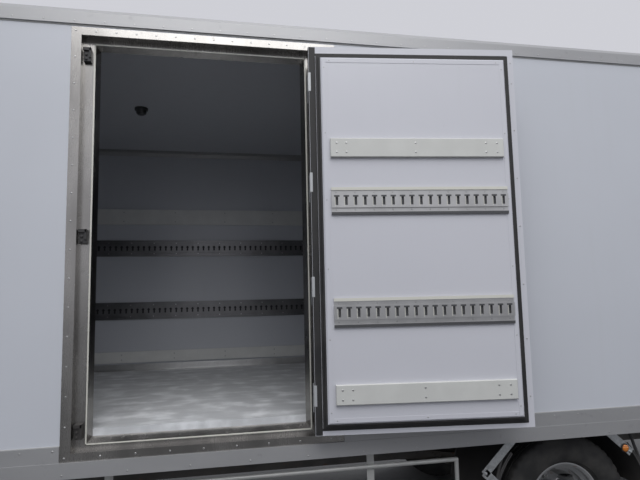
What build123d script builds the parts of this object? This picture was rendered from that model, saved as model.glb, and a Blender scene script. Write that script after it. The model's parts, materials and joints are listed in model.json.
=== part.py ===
"""Four-ton class cab-over truck with an insulated box body and a plug side door.

Millimetres. The origin is on the ground below the front axle's centre, +X points
to the rear, -Y is the truck's left (kerb) side and +Z is up. The side door stands
open, folded back along the left wall. Everything else rests closed.
"""
from build123d import *
from math import cos, degrees, radians, sin, sqrt
import os

LEFT, RIGHT = -1, 1
RUNNING_FIT = 0.05           # radial clearance of a shaft in its bearing
SEAT_GAP = 0.3               # between faces that are seated on each other
OVER = 1.0                   # how far a cutter reaches past the face that it opens

# Wheels
WHEELBASE = 4700.0
TYRE_RADIUS = 400.0
TYRE_WIDTH = 225.0
TREAD_DROP = (12.0, 12.0)    # how far the shoulder falls away, and over what width
SHOULDER_IN = 15.0
BEAD_RADIUS = 222.0          # 17.5 inch rim seat
RIM_WIDTH = 156.0
RIM_FLANGE = 13.0            # height of the rim's edge above its seat
RIM_STEEL = 7.0
RIM_WELL = (25.0, 25.0, 40.0)          # depth, half width at the foot and at the top
DISC_STEEL = 10.0
DISC_EDGE = 134.0            # radius where the disc starts to dish
HAND_HOLES = (8, 158.0, 19.0)          # count, pitch radius, radius
STUDS = (6, 111.0, 11.0, 26.0)         # count, pitch radius, radius, length past the disc
FRONT_TRACK = 1956.0         # between the front tyres' middle planes
TWIN_MIDDLE = 1814.0         # between the joints of the left and right twin wheels
TWIN_SPACING = 262.0         # between the middle planes of twin tyres
HUB_RADIUS = 80.0
HUB_PLATE = 14.0
FRONT_HUB_OUT, REAR_HUB_OUT = 24.0, 90.0
DRUM_RADIUS = 160.0
DRUM_NOSE = 126.0            # radius of the drum's tapered end, inside the disc's dish
DRUM_WALL = 14.0
DRUM_LIP = 30.0              # depth of the open mouth of a drum
FRONT_DRUM, REAR_DRUM = 150.0, 170.0   # depth of the brake drums
SPINDLE_RADIUS = 45.0

# Axles, steering and springs
KINGPIN_TRACK = 1670.0
KINGPIN_RADIUS = 17.0
AXLE_EYE_RADIUS = 42.0
AXLE_EYE_HALF = 50.0
BEAM_DROP = 70.0
BEAM_HALF = 38.0             # half the height and half the width of the axle's beam
BEAM_WEB, BEAM_FLANGE = 8.0, 14.0
STEER_ARM = 160.0
ARM_STEEL = 22.0
FORK_LUG, FORK_GAP, FORK_PLATE = 42.0, 5.0, 28.0
FORK_RADIUS = 36.0
TIE_PIN_RADIUS = 11.0
TIE_EYE = 26.0
TIE_ROD_RADIUS = 15.0
TIE_CLEARANCE = 1.0
REAR_TUBE = 60.0
DIFFERENTIAL = (190.0, 190.0, 60.0)    # radius, width and edge of its housing
SPRING_WIDTH = 70.0
LEAF_STEEL = 12.0
LEAF_STEP = 0.17             # how much shorter each leaf is, as a share of the top one
EYE_RADIUS = 21.0
EYE_BORE = 12.0
FRONT_LEAVES, FRONT_HALF_SPAN, FRONT_RISE = 4, 640.0, 55.0
REAR_LEAVES, REAR_HALF_SPAN, REAR_RISE = 6, 680.0, 70.0
FRONT_PAD_DROP = 15.0        # the front spring pad's face below the axle's centre
REAR_PAD_RISE = 10.0
REAR_SPRING_OUT = 85.0       # the rear spring's middle plane outside the rail
HANGER_CHEEK = 8.0

# Chassis
RAIL_OUTER = 840.0           # over the webs of the two rails
RAIL_HEIGHT = 220.0
RAIL_FLANGE = 70.0
RAIL_STEEL = 7.0
RAIL_TOP = 740.0
RAIL_FRONT = -1000.0
RAIL_REAR = 7000.0
CROSS_MEMBERS = (-840.0, 1250.0, 2150.0, 3100.0, 4050.0, 5450.0, 6250.0, 6965.0)
CROSS_HEIGHT, CROSS_WIDTH = 110.0, 70.0
TILT_PIVOT = (-1120.0, 780.0)          # x and z of the cab's hinge line
TILT_PIN_RADIUS = 16.0
TILT_CHEEKS = (60.0, 12.0)             # inner and outer cheek, in from the rail's side
CHEEK_STEEL = 12.0
TOW_BORE = 22.0
TOW_EYE = 38.0
TOW_PLATE = 24.0
TOW_REAR_OUT = 70.0
TOW_FRONT = (-1190.0, 325.0)

# Drive and chassis equipment
ENGINE = ((-420.0, 480.0), (-290.0, 290.0), (470.0, 900.0))
ENGINE_FEET = (-330.0, 380.0)
RADIATOR = ((-600.0, -540.0), (545.0, 905.0))
GEARBOX_END = 1050.0
GEARBOX_SIDE = 190.0
GEARBOX_SHAFT = 560.0
PROP_RADIUS = 42.0
PROP_JOINT = (60.0, 60.0)              # radius and length of a shaft's joint
PROP_BEARING = (3100.0, 520.0)         # x and z of the shaft's centre bearing
TANK = ((1600.0, 2500.0), (500.0, 1080.0), (390.0, 730.0))
TANK_CORNER = 70.0
BATTERY = ((1010.0, 1490.0), (-1040.0, -560.0), (430.0, 720.0))
SILENCER = ((1010.0, 1420.0), 650.0, 560.0, 118.0)     # x range, y, z, radius
EXHAUST_PIPE = 32.0
EXHAUST_TURN = (740.0, 480.0)          # x and z where the pipe turns to the rear
GUARD_POSTS = (1760.0, 3985.0)
GUARD_TUBE = 12.0
GUARD_LEVELS = (470.0, 600.0, 730.0)
GUARD_SIDE = 1185.0
GUARD_STRAP = 6.0
FLAP_RADIUS = 505.0
FLAP_STEEL = 10.0
FLAP_SIDE = (650.0, 1200.0)
FLAP_ARCS = ((8.0, 42.0), (138.0, 174.0))
BUMPER_FRONT = -1330.0
BUMPER_FOOT, BUMPER_TOP = 360.0, 545.0
LAMP_SPAN = (-1010.0, -700.0)
LAMP_LEVEL = (390.0, 505.0)
LAMP_DEPTH = 45.0
UNDERRUN = (100.0, 1120.0, 400.0, 510.0)               # depth, half width, foot, top
REAR_LAMP = ((-1130.0, -760.0), (620.0, 740.0))

# Box body
BOX_FRONT = 700.0
BOX_LENGTH = 6400.0
BOX_WIDTH = 2490.0
WALL = 90.0
SILL_HEIGHT = 80.0
BEARER_HEIGHT = 60.0
BEARER_WIDTH = 70.0
BEARER_PITCH = 450.0
BEARER_STEEL = 5.0
FLOOR_PANEL = 140.0
INNER_HEIGHT = 2060.0
ROOF_PANEL = 100.0
LOWER_RAIL = 143.5           # height of the two-step rail along the wall's foot
UPPER_RAIL = 82.0
RAIL_PROUD = 10.0
LOWER_PROUD = 14.0
RAIL_LIP = 6.0               # thickness of the lip under the body's lower rail
REAR_FRAME = 60.0            # depth of the portal round the rear doors
PORTAL_POST = 95.0
PORTAL_HEAD = 120.0
SAW_GAP = 0.3                # between the ends of members that are butted

# Side door, in the doorway's own axes
DOORWAY_FRONT = 1920.0       # the flange's front edge
DOORWAY_RISE = 70.0          # its foot above the sills
FRAME_WIDTH = 1404.0
FRAME_UNDER_RAIL = 11.0      # from the flange's head to the upper rail
FRAME_PROUD = 3.0
FRAME_LAP = 20.0             # the flange's lap over the wall
RECESS_INSET = (49.0, 139.0, 39.0, 42.0)               # front, rear, foot, head
STRIP_INSET = (111.0, 168.0, 68.0, 73.0)
CLEAR_INSET = (130.0, 187.0, 94.0, 90.0)
PLUG_INSET = (173.0, 207.0, 123.0, 145.0)
RECESS_DEPTH = 50.0
CATCH_ENDS = (130.0, 137.0)            # lowest and highest catch, in from foot and head
CATCH_HALF = 35.0
CATCH_SPAN = (8.0, 42.0)               # across the recess's front strip
CATCH_PROUD = 24.0
PIN_IN, PIN_OUT = 15.0, 30.0           # hinge line ahead of the recess's rear edge, and proud
OPEN_ANGLE = 173.3
LEAF_CLEAR = (54.0, 7.0, 23.0, 28.0)   # the leaf's edges in from the recess's
SLAB_THICK = 45.0
PLUG_SHORT = 6.0             # the plug's face stops this far outside the wall's inner face
SEAL_FOOT = (22.0, 16.0)               # width and height of the seal's foot
SEAL_SKIRT = 9.0                       # width of the skirt that covers the plug's sides
SEAL_SHORT = 8.0                       # the skirt stops this far short of the plug's face
HINGES = 4
HINGE_ENDS = (313.0, 216.0)            # tops of the lowest and highest hinge, in from foot and head
HINGE_LEAF, HINGE_POST = 105.0, 40.0
DOOR_BARREL = 13.0
DOOR_PIN_RADIUS = 7.0
LINING_INSET = (26.0, 36.0, 43.0)      # rail's and board's front ends, both rear ends, in from the plug
RAIL_LEVELS = ((1189.0, 1334.0), (605.0, 754.0))
BOARD_LEVELS = ((1496.0, 1598.0), (219.0, 319.0))
SLOT_PITCH = 50.0
SLOT = (14.0, 44.0)
SLOT_MARGIN = 20.0
LOCK_ROD = (60.0, 16.0, 8.0)           # from the leaf's front edge, proud of it, radius
LOCK_LEVEL = 980.0

# Rear doors
LEAF_GAP = 6.0
LEAF_THICK = 70.0
LEAF_PLUG = 40.0
LEAF_RISE, LEAF_DROP = 85.0, 45.0      # the leaf's foot above the sills, its head below the roof
LEAF_MEET = 7.0
LEAF_SIDE = 20.0
PIN_BEHIND = 35.0
PIN_OUTSIDE = 25.0
ROD_AT = 180.0
ROD_RADIUS = 13.0
STRAP_HALF, BRACKET_HALF = 13.0, 42.0
STRAP_REACH = 260.0
HINGE_BARREL = 12.0
REAR_PIN_RADIUS = 7.0
HANDLE_RISE, HANDLE_REACH = 425.0, 330.0

# Lining and cooling plant
LINING_RAILS = ((2068.0, 2219.0), (1483.0, 1640.0))
LINING_BOARDS = ((2370.0, 2513.0), (1090.0, 1190.0))
BOARD_THICK = 18.0
LINING_RAIL = 14.0
TROUGH = (16.0, 36.0)
PLANT = ((350.0, 700.0), (-850.0, 850.0), (2660.0, 3115.0))
COOLER = ((790.0, 1240.0), (-680.0, 680.0), (2850.0, 3080.0))
COOLER_FANS = ((-440.0, 0.0, 440.0), 120.0)
PLANT_SLOTS = (9, 22.0, 180.0)         # count, pitch, from each end

# Cab
CAB_FRONT = -1250.0
CAB_BACK = 520.0
CAB_WIDTH = 2260.0
CAB_FOOT = 560.0
CAB_FLOOR = 954.0            # underside of the cab's floor
CAB_ROOF = 2450.0
CAB_SKIN = 45.0
BELT = 1420.0
SCREEN_TOP = (-985.0, 2330.0)
ROOF_FRONT = (-840.0, 2435.0)
PILLAR_TOP = 2300.0
FRONT_DEPTH = 200.0          # how far the front panel wraps round the corners
SIDE_ROUND = 110.0
ARCH_RADIUS = 554.0
SCREEN_HALF = 930.0
SCREEN_BACK = -700.0
GLASS = 6.0
GLASS_IN = 12.0
DOOR_GAP = 7.0
DOOR_FRONT, DOOR_BACK = -960.0, 330.0
DOOR_LOW, DOOR_HIGH = 1010.0, 2255.0
DOOR_TOP_FRONT = -790.0
DOOR_SLANT_LEAD = 48.0       # the door's slant starts this far below its opening's
DOOR_PIN_IN = 6.0
DOOR_HINGES = (1120.0, 1360.0)
DOOR_HINGE_PIN = 5.0
WINDOW_FOOT, WINDOW_HEAD = 1440.0, 2190.0
WINDOW_TOP_FRONT = -735.0
WINDOW_SIDE = 75.0
GRILLE = ((-345.0, 345.0), (620.0, 900.0))
GRILLE_SLATS = 4
STEP_WELL = ((-945.0, -640.0), (640.0, 880.0))         # x and z of the entry step's opening
STEP_DEPTH, STEP_STEEL = 170.0, 12.0
SEATS = ((-900.0, -50.0), (330.0, 850.0))
SEAT_TOP, SEAT_BACK_TOP = 391.0, 801.0                 # above the cab's floor
WHEEL_AT = (-640.0, 590.0, 1500.0)
WHEEL_TILT, WHEEL_RADIUS = 58.0, 205.0

# Derived planes and places
FRONT_CENTRE = FRONT_TRACK / 2
TWIN_JOINT = TWIN_MIDDLE / 2
FACE_OFFSET = TWIN_SPACING / 2
FRONT_FACE = FRONT_CENTRE + FACE_OFFSET
FRONT_SPINDLE_END = FRONT_FACE - 5
REAR_SPINDLE_END = TWIN_JOINT + 40
KINGPIN = KINGPIN_TRACK / 2
TIE_END = KINGPIN            # straight back from the kingpin, so that both arms stay parallel
FORK_TOP = TYRE_RADIUS + AXLE_EYE_HALF
FORK_FOOT = TYRE_RADIUS - AXLE_EYE_HALF
ARM_FOOT = FORK_FOOT - FORK_GAP - FORK_LUG
TIE_LEVEL = ARM_FOOT - 24
RAIL_FOOT = RAIL_TOP - RAIL_HEIGHT
RAIL_SIDE = RAIL_OUTER / 2
RAIL_INNER = RAIL_SIDE - RAIL_STEEL
CROSS_TOP = RAIL_TOP - RAIL_STEEL
CROSS_FOOT = CROSS_TOP - CROSS_HEIGHT
FRONT_PAD = TYRE_RADIUS - FRONT_PAD_DROP
FRONT_SPRING = RAIL_SIDE     # middle plane of a front spring, below its rail
REAR_SPRING = RAIL_SIDE + REAR_SPRING_OUT
REAR_PAD = TYRE_RADIUS + REAR_TUBE + REAR_PAD_RISE
TOW_REAR = RAIL_REAR + TOW_REAR_OUT
BUMPER_BACK = CAB_FRONT - 12
BOX_REAR = BOX_FRONT + BOX_LENGTH
PANELS_END = BOX_REAR - REAR_FRAME
BOX_SIDE = BOX_WIDTH / 2
WALL_INSIDE = BOX_SIDE - WALL
SILL_TOP = RAIL_TOP + SILL_HEIGHT
PANEL_FOOT = SILL_TOP + BEARER_HEIGHT
FLOOR_TOP = PANEL_FOOT + FLOOR_PANEL
CEILING = FLOOR_TOP + INNER_HEIGHT
BOX_TOP = CEILING + ROOF_PANEL
RAIL_CAP = BOX_TOP + 8
BEARER_FIRST = BOX_FRONT + 85
BEARER_COUNT = int((BOX_LENGTH - 170) / BEARER_PITCH) + 1
BEARERS = [BEARER_FIRST + BEARER_PITCH * step for step in range(BEARER_COUNT)]
GUARD_BEARERS = (BEARERS[3], BEARERS[6])
WHEEL_BAY = (WHEELBASE - 300, WHEELBASE + 300)
UNDERRUN_X = BOX_REAR - 20
DOORWAY_FOOT = SILL_TOP + DOORWAY_RISE
FRAME_HEIGHT = BOX_TOP - UPPER_RAIL - FRAME_UNDER_RAIL - DOORWAY_FOOT
CATCH_TOP = FRAME_HEIGHT - CATCH_ENDS[1]
CATCH_LEVELS = (CATCH_ENDS[0], (CATCH_ENDS[0] + CATCH_TOP) / 2, CATCH_TOP)
HINGE_STEP = (FRAME_HEIGHT - HINGE_ENDS[1] - HINGE_ENDS[0]) / (HINGES - 1)
HINGE_TOPS = [HINGE_ENDS[0] + HINGE_STEP * step for step in range(HINGES)]
PIN = (FRAME_WIDTH - RECESS_INSET[1] - PIN_IN, -PIN_OUT)
PLUG_FACE = WALL - PLUG_SHORT
LEAF_FOOT, LEAF_HEAD = SILL_TOP + LEAF_RISE, BOX_TOP - LEAF_DROP
LEAF_EDGE = BOX_SIDE - LEAF_SIDE
LEAF_BACK = BOX_REAR + LEAF_GAP + LEAF_THICK
ROD_X = LEAF_BACK + 18
POST_IN = BOX_SIDE - PORTAL_POST
PORTAL_SILL = FLOOR_TOP - 4
REAR_PIN = (LEAF_BACK + PIN_BEHIND, BOX_SIDE + PIN_OUTSIDE)
REAR_HINGES = (LEAF_FOOT + 155, LEAF_FOOT + 695, LEAF_HEAD - 735, LEAF_HEAD - 175)
ROD_GUIDES = (LEAF_FOOT + 60, LEAF_FOOT + 575, LEAF_HEAD - 885, LEAF_HEAD - 60)
CAB_SIDE = CAB_WIDTH / 2
CAB_FLOOR_TOP = CAB_FLOOR + CAB_SKIN
DOOR_PIN = (DOOR_FRONT + 3, CAB_SIDE - DOOR_PIN_IN)
ACROSS = (-CAB_WIDTH, CAB_WIDTH)       # spans that reach past the cab on every side
ALONG = (CAB_FRONT - 100, CAB_BACK + 100)
HIGH = CAB_ROOF + 500

nodes = {}
hinge_brackets = []          # brackets of the rear and side doors, on the body


def block(x, y, z):
    """Box between the (low, high) pairs x, y and z."""
    middle = Pos((x[0] + x[1]) / 2, (y[0] + y[1]) / 2, (z[0] + z[1]) / 2)
    return middle * Box(x[1] - x[0], y[1] - y[0], z[1] - z[0])


def prism_xz(outline, y):
    """Outline of (x, z) points or a face, as thick as from y[0] to y[1]."""
    face = Polygon(*outline, align=None) if isinstance(outline, (list, tuple)) else outline
    start = Plane((0, y[0], 0), x_dir=(1, 0, 0), z_dir=(0, -1, 0))
    return extrude(start * face, y[1] - y[0], dir=(0, 1, 0))


def prism_yz(outline, x):
    """Outline of (y, z) points, as thick as from x[0] to x[1]."""
    return extrude(Plane.YZ.offset(x[0]) * Polygon(*outline, align=None), x[1] - x[0], dir=(1, 0, 0))


def prism_xy(outline, z):
    """Outline of (x, y) points, as thick as from z[0] to z[1]."""
    return extrude(Plane.XY.offset(z[0]) * Polygon(*outline, align=None), z[1] - z[0], dir=(0, 0, 1))


def shaft_x(radius, y, z, x):
    """Round bar along X."""
    return Pos((x[0] + x[1]) / 2, y, z) * Rot(0, 90, 0) * Cylinder(radius, abs(x[1] - x[0]))


def shaft_y(radius, x, z, y):
    """Round bar along Y."""
    return Pos(x, (y[0] + y[1]) / 2, z) * Rot(90, 0, 0) * Cylinder(radius, abs(y[1] - y[0]))


def shaft_z(radius, x, y, z):
    """Round bar along Z."""
    return Pos(x, y, (z[0] + z[1]) / 2) * Cylinder(radius, z[1] - z[0])


def bar(start, end, radius):
    """Round bar between two points."""
    run = Vector(*end) - Vector(*start)
    foot = (Align.CENTER, Align.CENTER, Align.MIN)
    return Plane(origin=start, z_dir=run) * Cylinder(radius, run.length, align=foot)


def other_side(shape):
    """The same shape on the other side of the truck."""
    return mirror(shape, about=Plane.XZ)


def both_sides(shape):
    """The shape and its mirror image, as a list."""
    return [shape, other_side(shape)]


def join(parts):
    """Fuse a list of shapes into one."""
    whole = parts[0]
    for part in parts[1:]:
        whole = whole + part
    return whole


def polar_point(radius, angle):
    """Point at a radius and an angle in degrees."""
    return (radius * cos(radians(angle)), radius * sin(radians(angle)))


def solids_of(shape):
    """The solids in a shape or in a list of shapes."""
    if isinstance(shape, (list, tuple)):
        return [solid for part in shape for solid in solids_of(part)]
    return list(shape.solids())


def keep(name, shape):
    """Store a node as one solid, or as a group of solids that stand apart."""
    found = solids_of(shape)
    nodes[name] = found[0] if len(found) == 1 else Compound(children=found)
    nodes[name].label = name


# Wheels

def wheel_ring(points):
    """Closed section of (radius, y) points, turned about the wheel's axle."""
    return revolve(make_face(Polyline(*points, close=True)), Axis.Y)


def tyre():
    """Tyre about the origin, its beads seated on the rim."""
    bead = RIM_WIDTH / 2 - 6
    flange = BEAD_RADIUS + RIM_FLANGE
    wide = TYRE_WIDTH / 2
    shoulder = (TYRE_RADIUS - TREAD_DROP[0], wide - SHOULDER_IN)
    tread = shoulder[1] - TREAD_DROP[1]
    half = [
        Line((BEAD_RADIUS, bead), (flange, RIM_WIDTH / 2)),
        ThreePointArc((flange, RIM_WIDTH / 2), ((flange + TYRE_RADIUS) / 2, wide), shoulder),
        Line(shoulder, (TYRE_RADIUS, tread)),
    ]
    edges = half + [mirror(edge, about=Plane.XZ).edge() for edge in half]
    edges.append(Line((TYRE_RADIUS, tread), (TYRE_RADIUS, -tread)))
    edges.append(Line((BEAD_RADIUS, -bead), (BEAD_RADIUS, bead)))
    return revolve(make_face(edges), Axis.Y)


def rim(face_y):
    """Steel rim about the origin with its disc dished out to the plane face_y."""
    side = 1 if face_y > 0 else -1
    seat, flange = BEAD_RADIUS, BEAD_RADIUS + RIM_FLANGE
    drop, foot, mouth = RIM_WELL
    well = seat - drop
    edge, bead = RIM_WIDTH / 2, RIM_WIDTH / 2 - 6
    outer = [(flange, -edge), (seat, -bead), (seat, -mouth), (well, -foot),
             (well, foot), (seat, mouth), (seat, bead), (flange, edge)]
    inner = [(r - RIM_STEEL, y * (edge - 6) / edge if r == seat else y) for r, y in reversed(outer)]
    barrel = wheel_ring(outer + inner)
    back = face_y - side * DISC_STEEL
    dish = wheel_ring([
        (well - 2, side * 14), (well - 28, side * 20), (DISC_EDGE, back), (HUB_RADIUS, back),
        (HUB_RADIUS, face_y), (DISC_EDGE + 6, face_y), (well - 17, side * 32), (well - 2, side * 26),
    ])
    count, pitch, radius = HAND_HOLES
    for turn in range(count):
        hole = bar((pitch, -RIM_WIDTH, 0), (pitch, RIM_WIDTH, 0), radius)
        dish = dish - Rot(0, turn * 360 / count, 0) * hole
    return barrel + dish


def hub(face, bore_depth, outward, drum_depth):
    """Hub and brake drum on the +Y side, inside the disc's mounting plane face."""
    back = face - DISC_STEEL - HUB_PLATE
    drum_in = back - drum_depth
    taper = face - FACE_OFFSET + 14
    mouth = drum_in + DRUM_LIP
    body = wheel_ring([
        (DRUM_RADIUS, drum_in), (DRUM_RADIUS, taper), (DRUM_NOSE, back), (HUB_RADIUS, back + HUB_PLATE),
        (HUB_RADIUS, face + outward), (HUB_RADIUS - 22, face + outward + 14), (0, face + outward + 14),
        (0, mouth), (DRUM_RADIUS - DRUM_WALL, mouth), (DRUM_RADIUS - DRUM_WALL, drum_in),
    ])
    bore = shaft_y(SPINDLE_RADIUS + RUNNING_FIT, 0, 0, (drum_in, bore_depth + 2))
    count, pitch, radius, length = STUDS
    studs = [Rot(0, (turn + 0.5) * 360 / count, 0) * bar((pitch, back, 0), (pitch, face + length, 0), radius)
             for turn in range(count)]
    return join([body - bore] + studs)


def wheels():
    """Front wheels, single; rear wheels, twin and joined disc to disc."""
    front_tyre = Pos(0, FRONT_CENTRE, TYRE_RADIUS) * tyre()
    front_hub = hub(FRONT_FACE, FRONT_SPINDLE_END, FRONT_HUB_OUT, FRONT_DRUM)
    front_rim = Pos(0, 0, TYRE_RADIUS) * (Pos(0, FRONT_CENTRE, 0) * rim(FACE_OFFSET) + front_hub)
    inner_mid, outer_mid = TWIN_JOINT - FACE_OFFSET, TWIN_JOINT + FACE_OFFSET
    rear_tyres = [Pos(WHEELBASE, mid, TYRE_RADIUS) * tyre() for mid in (inner_mid, outer_mid)]
    rear_rims = Pos(0, inner_mid, 0) * rim(FACE_OFFSET) + Pos(0, outer_mid, 0) * rim(-FACE_OFFSET)
    rear_rims = rear_rims + hub(TWIN_JOINT, REAR_SPINDLE_END, REAR_HUB_OUT, REAR_DRUM)
    rear_rims = Pos(WHEELBASE, 0, TYRE_RADIUS) * rear_rims
    for name, shape in (("tyre_front", front_tyre), ("rim_front", front_rim),
                        ("tyres_rear", rear_tyres), ("rims_rear", rear_rims)):
        keep(name + "_right", shape)
        keep(name + "_left", [other_side(solid) for solid in solids_of(shape)])


# Axles, steering and springs

def front_axle():
    """Dropped I-beam with an eye for a kingpin at each end."""
    centre = TYRE_RADIUS - BEAM_DROP
    run = [(0, centre), (560, centre), (740, TYRE_RADIUS - 8), (KINGPIN - 20, TYRE_RADIUS - 8)]

    def ribbon(low, high, width):
        """Part of the beam's section, swept along its bends."""
        upper = [(y, z + high) for y, z in run]
        lower = [(y, z + low) for y, z in reversed(run)]
        return prism_yz(upper + lower, (-width, width))

    beam = ribbon(-BEAM_HALF, BEAM_HALF, BEAM_WEB)
    beam = beam + ribbon(-BEAM_HALF, -BEAM_HALF + BEAM_FLANGE, BEAM_HALF)
    beam = beam + ribbon(BEAM_HALF - BEAM_FLANGE, BEAM_HALF, BEAM_HALF)
    beam = beam + shaft_z(AXLE_EYE_RADIUS, 0, KINGPIN, (FORK_FOOT, FORK_TOP))
    pad_y = (FRONT_SPRING - SPRING_WIDTH / 2, FRONT_SPRING + SPRING_WIDTH / 2)
    beam = beam + block((-60, 60), pad_y, (centre + BEAM_HALF - BEAM_FLANGE, FRONT_PAD))
    beam = beam - shaft_z(KINGPIN_RADIUS, 0, KINGPIN, (0, 2 * TYRE_RADIUS))
    keep("front_axle", beam + other_side(beam))


def knuckles():
    """Stub axles: a fork round the axle's eye, the kingpin, the spindle and the steering arm."""
    top = FORK_TOP + FORK_GAP
    foot = FORK_FOOT - FORK_GAP
    plate = (KINGPIN + AXLE_EYE_RADIUS + FORK_GAP, KINGPIN + AXLE_EYE_RADIUS + FORK_GAP + FORK_PLATE)
    parts = []
    for low, high in ((foot - FORK_LUG, foot), (top, top + FORK_LUG)):
        parts.append(shaft_z(FORK_RADIUS, 0, KINGPIN, (low, high)))
        parts.append(block((-FORK_RADIUS, FORK_RADIUS), (KINGPIN, plate[1]), (low, high)))
    parts.append(block((-50, 50), plate, (foot - FORK_LUG, top + FORK_LUG)))
    parts.append(shaft_z(KINGPIN_RADIUS - RUNNING_FIT, 0, KINGPIN, (foot - 5, top + 5)))
    parts.append(shaft_y(SPINDLE_RADIUS, 0, TYRE_RADIUS, (plate[0], FRONT_SPINDLE_END)))
    end = STEER_ARM + ARM_STEEL
    parts.append(prism_xy([(-20, KINGPIN - 30), (30, KINGPIN - 34), (end, TIE_END - ARM_STEEL),
                           (end, TIE_END + ARM_STEEL), (30, KINGPIN + 34), (-20, KINGPIN + 30)],
                          (ARM_FOOT, ARM_FOOT + ARM_STEEL)))
    parts.append(shaft_z(TIE_PIN_RADIUS, STEER_ARM, TIE_END, (ARM_FOOT - 44, ARM_FOOT + ARM_STEEL)))
    shape = join(parts)
    keep("knuckle_right", shape)
    keep("knuckle_left", other_side(shape))


def tie_rod():
    """Track rod between the two steering arms, an eye round each arm's pin."""
    rod = shaft_y(TIE_ROD_RADIUS, STEER_ARM, TIE_LEVEL, (-TIE_END + 20, TIE_END - 20))
    for side in (LEFT, RIGHT):
        rod = rod + shaft_z(TIE_EYE, STEER_ARM, side * TIE_END, (TIE_LEVEL - 18, TIE_LEVEL + 18))
    for side in (LEFT, RIGHT):
        rod = rod - shaft_z(TIE_PIN_RADIUS + TIE_CLEARANCE, STEER_ARM, side * TIE_END,
                            (TIE_LEVEL - 30, TIE_LEVEL + 30))
    keep("tie_rod", rod)


def rear_axle():
    """Drive axle: a tube with spring pads, and the round differential housing in its middle."""
    end = TWIN_JOINT - DISC_STEEL - HUB_PLATE - REAR_DRUM + DRUM_LIP - 5
    tube = shaft_y(REAR_TUBE, WHEELBASE, TYRE_RADIUS, (-end, end))
    spindle = shaft_y(SPINDLE_RADIUS, WHEELBASE, TYRE_RADIUS, (-REAR_SPINDLE_END, REAR_SPINDLE_END))
    radius, width, edge = DIFFERENTIAL
    housing = shaft_x(radius, 0, TYRE_RADIUS, (WHEELBASE - width / 2, WHEELBASE + width / 2))
    housing = fillet(housing.edges().filter_by(GeomType.CIRCLE), edge)
    nose = Pos(WHEELBASE - 170, 0, TYRE_RADIUS) * Rot(0, 90, 0) * Cone(70, 120, 180)
    parts = [tube, spindle, housing, nose]
    for side in (LEFT, RIGHT):
        y = sorted((side * (REAR_SPRING - SPRING_WIDTH / 2), side * (REAR_SPRING + SPRING_WIDTH / 2)))
        parts.append(block((WHEELBASE - 75, WHEELBASE + 75), y, (TYRE_RADIUS + 20, REAR_PAD)))
    keep("rear_axle", join(parts))


def leaf_pack(x, y_middle, pad_top, half_span, rise, count):
    """Stack of curved leaves over an axle pad, the top leaf rolled into an eye at each end.

    Gives the pack, and how far from its middle and how high its eyes are.
    """
    middle = pad_top + count * LEAF_STEEL
    radius = (half_span ** 2 + rise ** 2) / (2 * rise)
    pack = None
    for step in range(count):
        turn = degrees(half_span * (1 - LEAF_STEP * step) / radius)
        inner = CenterArc((0, 0), radius + step * LEAF_STEEL, -90 - turn, 2 * turn)
        outer = CenterArc((0, 0), radius + (step + 1) * LEAF_STEEL, -90 - turn, 2 * turn)
        leaf = make_face([inner, outer, Line(inner @ 0, outer @ 0), Line(inner @ 1, outer @ 1)])
        pack = leaf if pack is None else pack + leaf
    turn = half_span / radius
    reach = (radius + LEAF_STEEL / 2) * sin(turn)
    drop = (radius + LEAF_STEEL / 2) * cos(turn)
    for side in (-1, 1):
        pack = pack + Pos(side * reach, -drop) * Circle(EYE_RADIUS)
    for side in (-1, 1):
        pack = pack - Pos(side * reach, -drop) * Circle(EYE_BORE)
    pack = Pos(x, middle + radius) * pack
    solid = prism_xz(pack, (y_middle - SPRING_WIDTH / 2, y_middle + SPRING_WIDTH / 2))
    return solid, reach, middle + radius - drop


def hanger(x, y_middle, eye_z, top, inboard):
    """Clevis round a spring's eye with its pin; it reaches up to top and in to the plane inboard."""
    half = SPRING_WIDTH / 2 + SEAT_GAP
    parts = []
    for low in (y_middle - half - HANGER_CHEEK, y_middle + half):
        outline = [(x - 26, eye_z - 20), (x + 26, eye_z - 20), (x + 40, top), (x - 40, top)]
        parts.append(prism_xz(outline, (low, low + HANGER_CHEEK)))
    if inboard is not None:
        parts.append(block((x - 40, x + 40), (inboard, y_middle + half + HANGER_CHEEK), (eye_z + 40, top)))
    parts.append(shaft_y(EYE_BORE - RUNNING_FIT, x, eye_z,
                         (y_middle - half - HANGER_CHEEK, y_middle + half + HANGER_CHEEK)))
    return join(parts)


def springs():
    """Four leaf packs. Gives the right side's hangers, which the rails carry."""
    front, reach, eye_z = leaf_pack(0, FRONT_SPRING, FRONT_PAD, FRONT_HALF_SPAN, FRONT_RISE, FRONT_LEAVES)
    hangers = [hanger(x, FRONT_SPRING, eye_z, RAIL_FOOT, None) for x in (-reach, reach)]
    rear, reach, eye_z = leaf_pack(WHEELBASE, REAR_SPRING, REAR_PAD, REAR_HALF_SPAN, REAR_RISE, REAR_LEAVES)
    hangers += [hanger(WHEELBASE + x, REAR_SPRING, eye_z, eye_z + 90, RAIL_SIDE) for x in (-reach, reach)]
    keep("leaf_springs", both_sides(front) + both_sides(rear))
    return hangers


# Chassis frame

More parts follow.
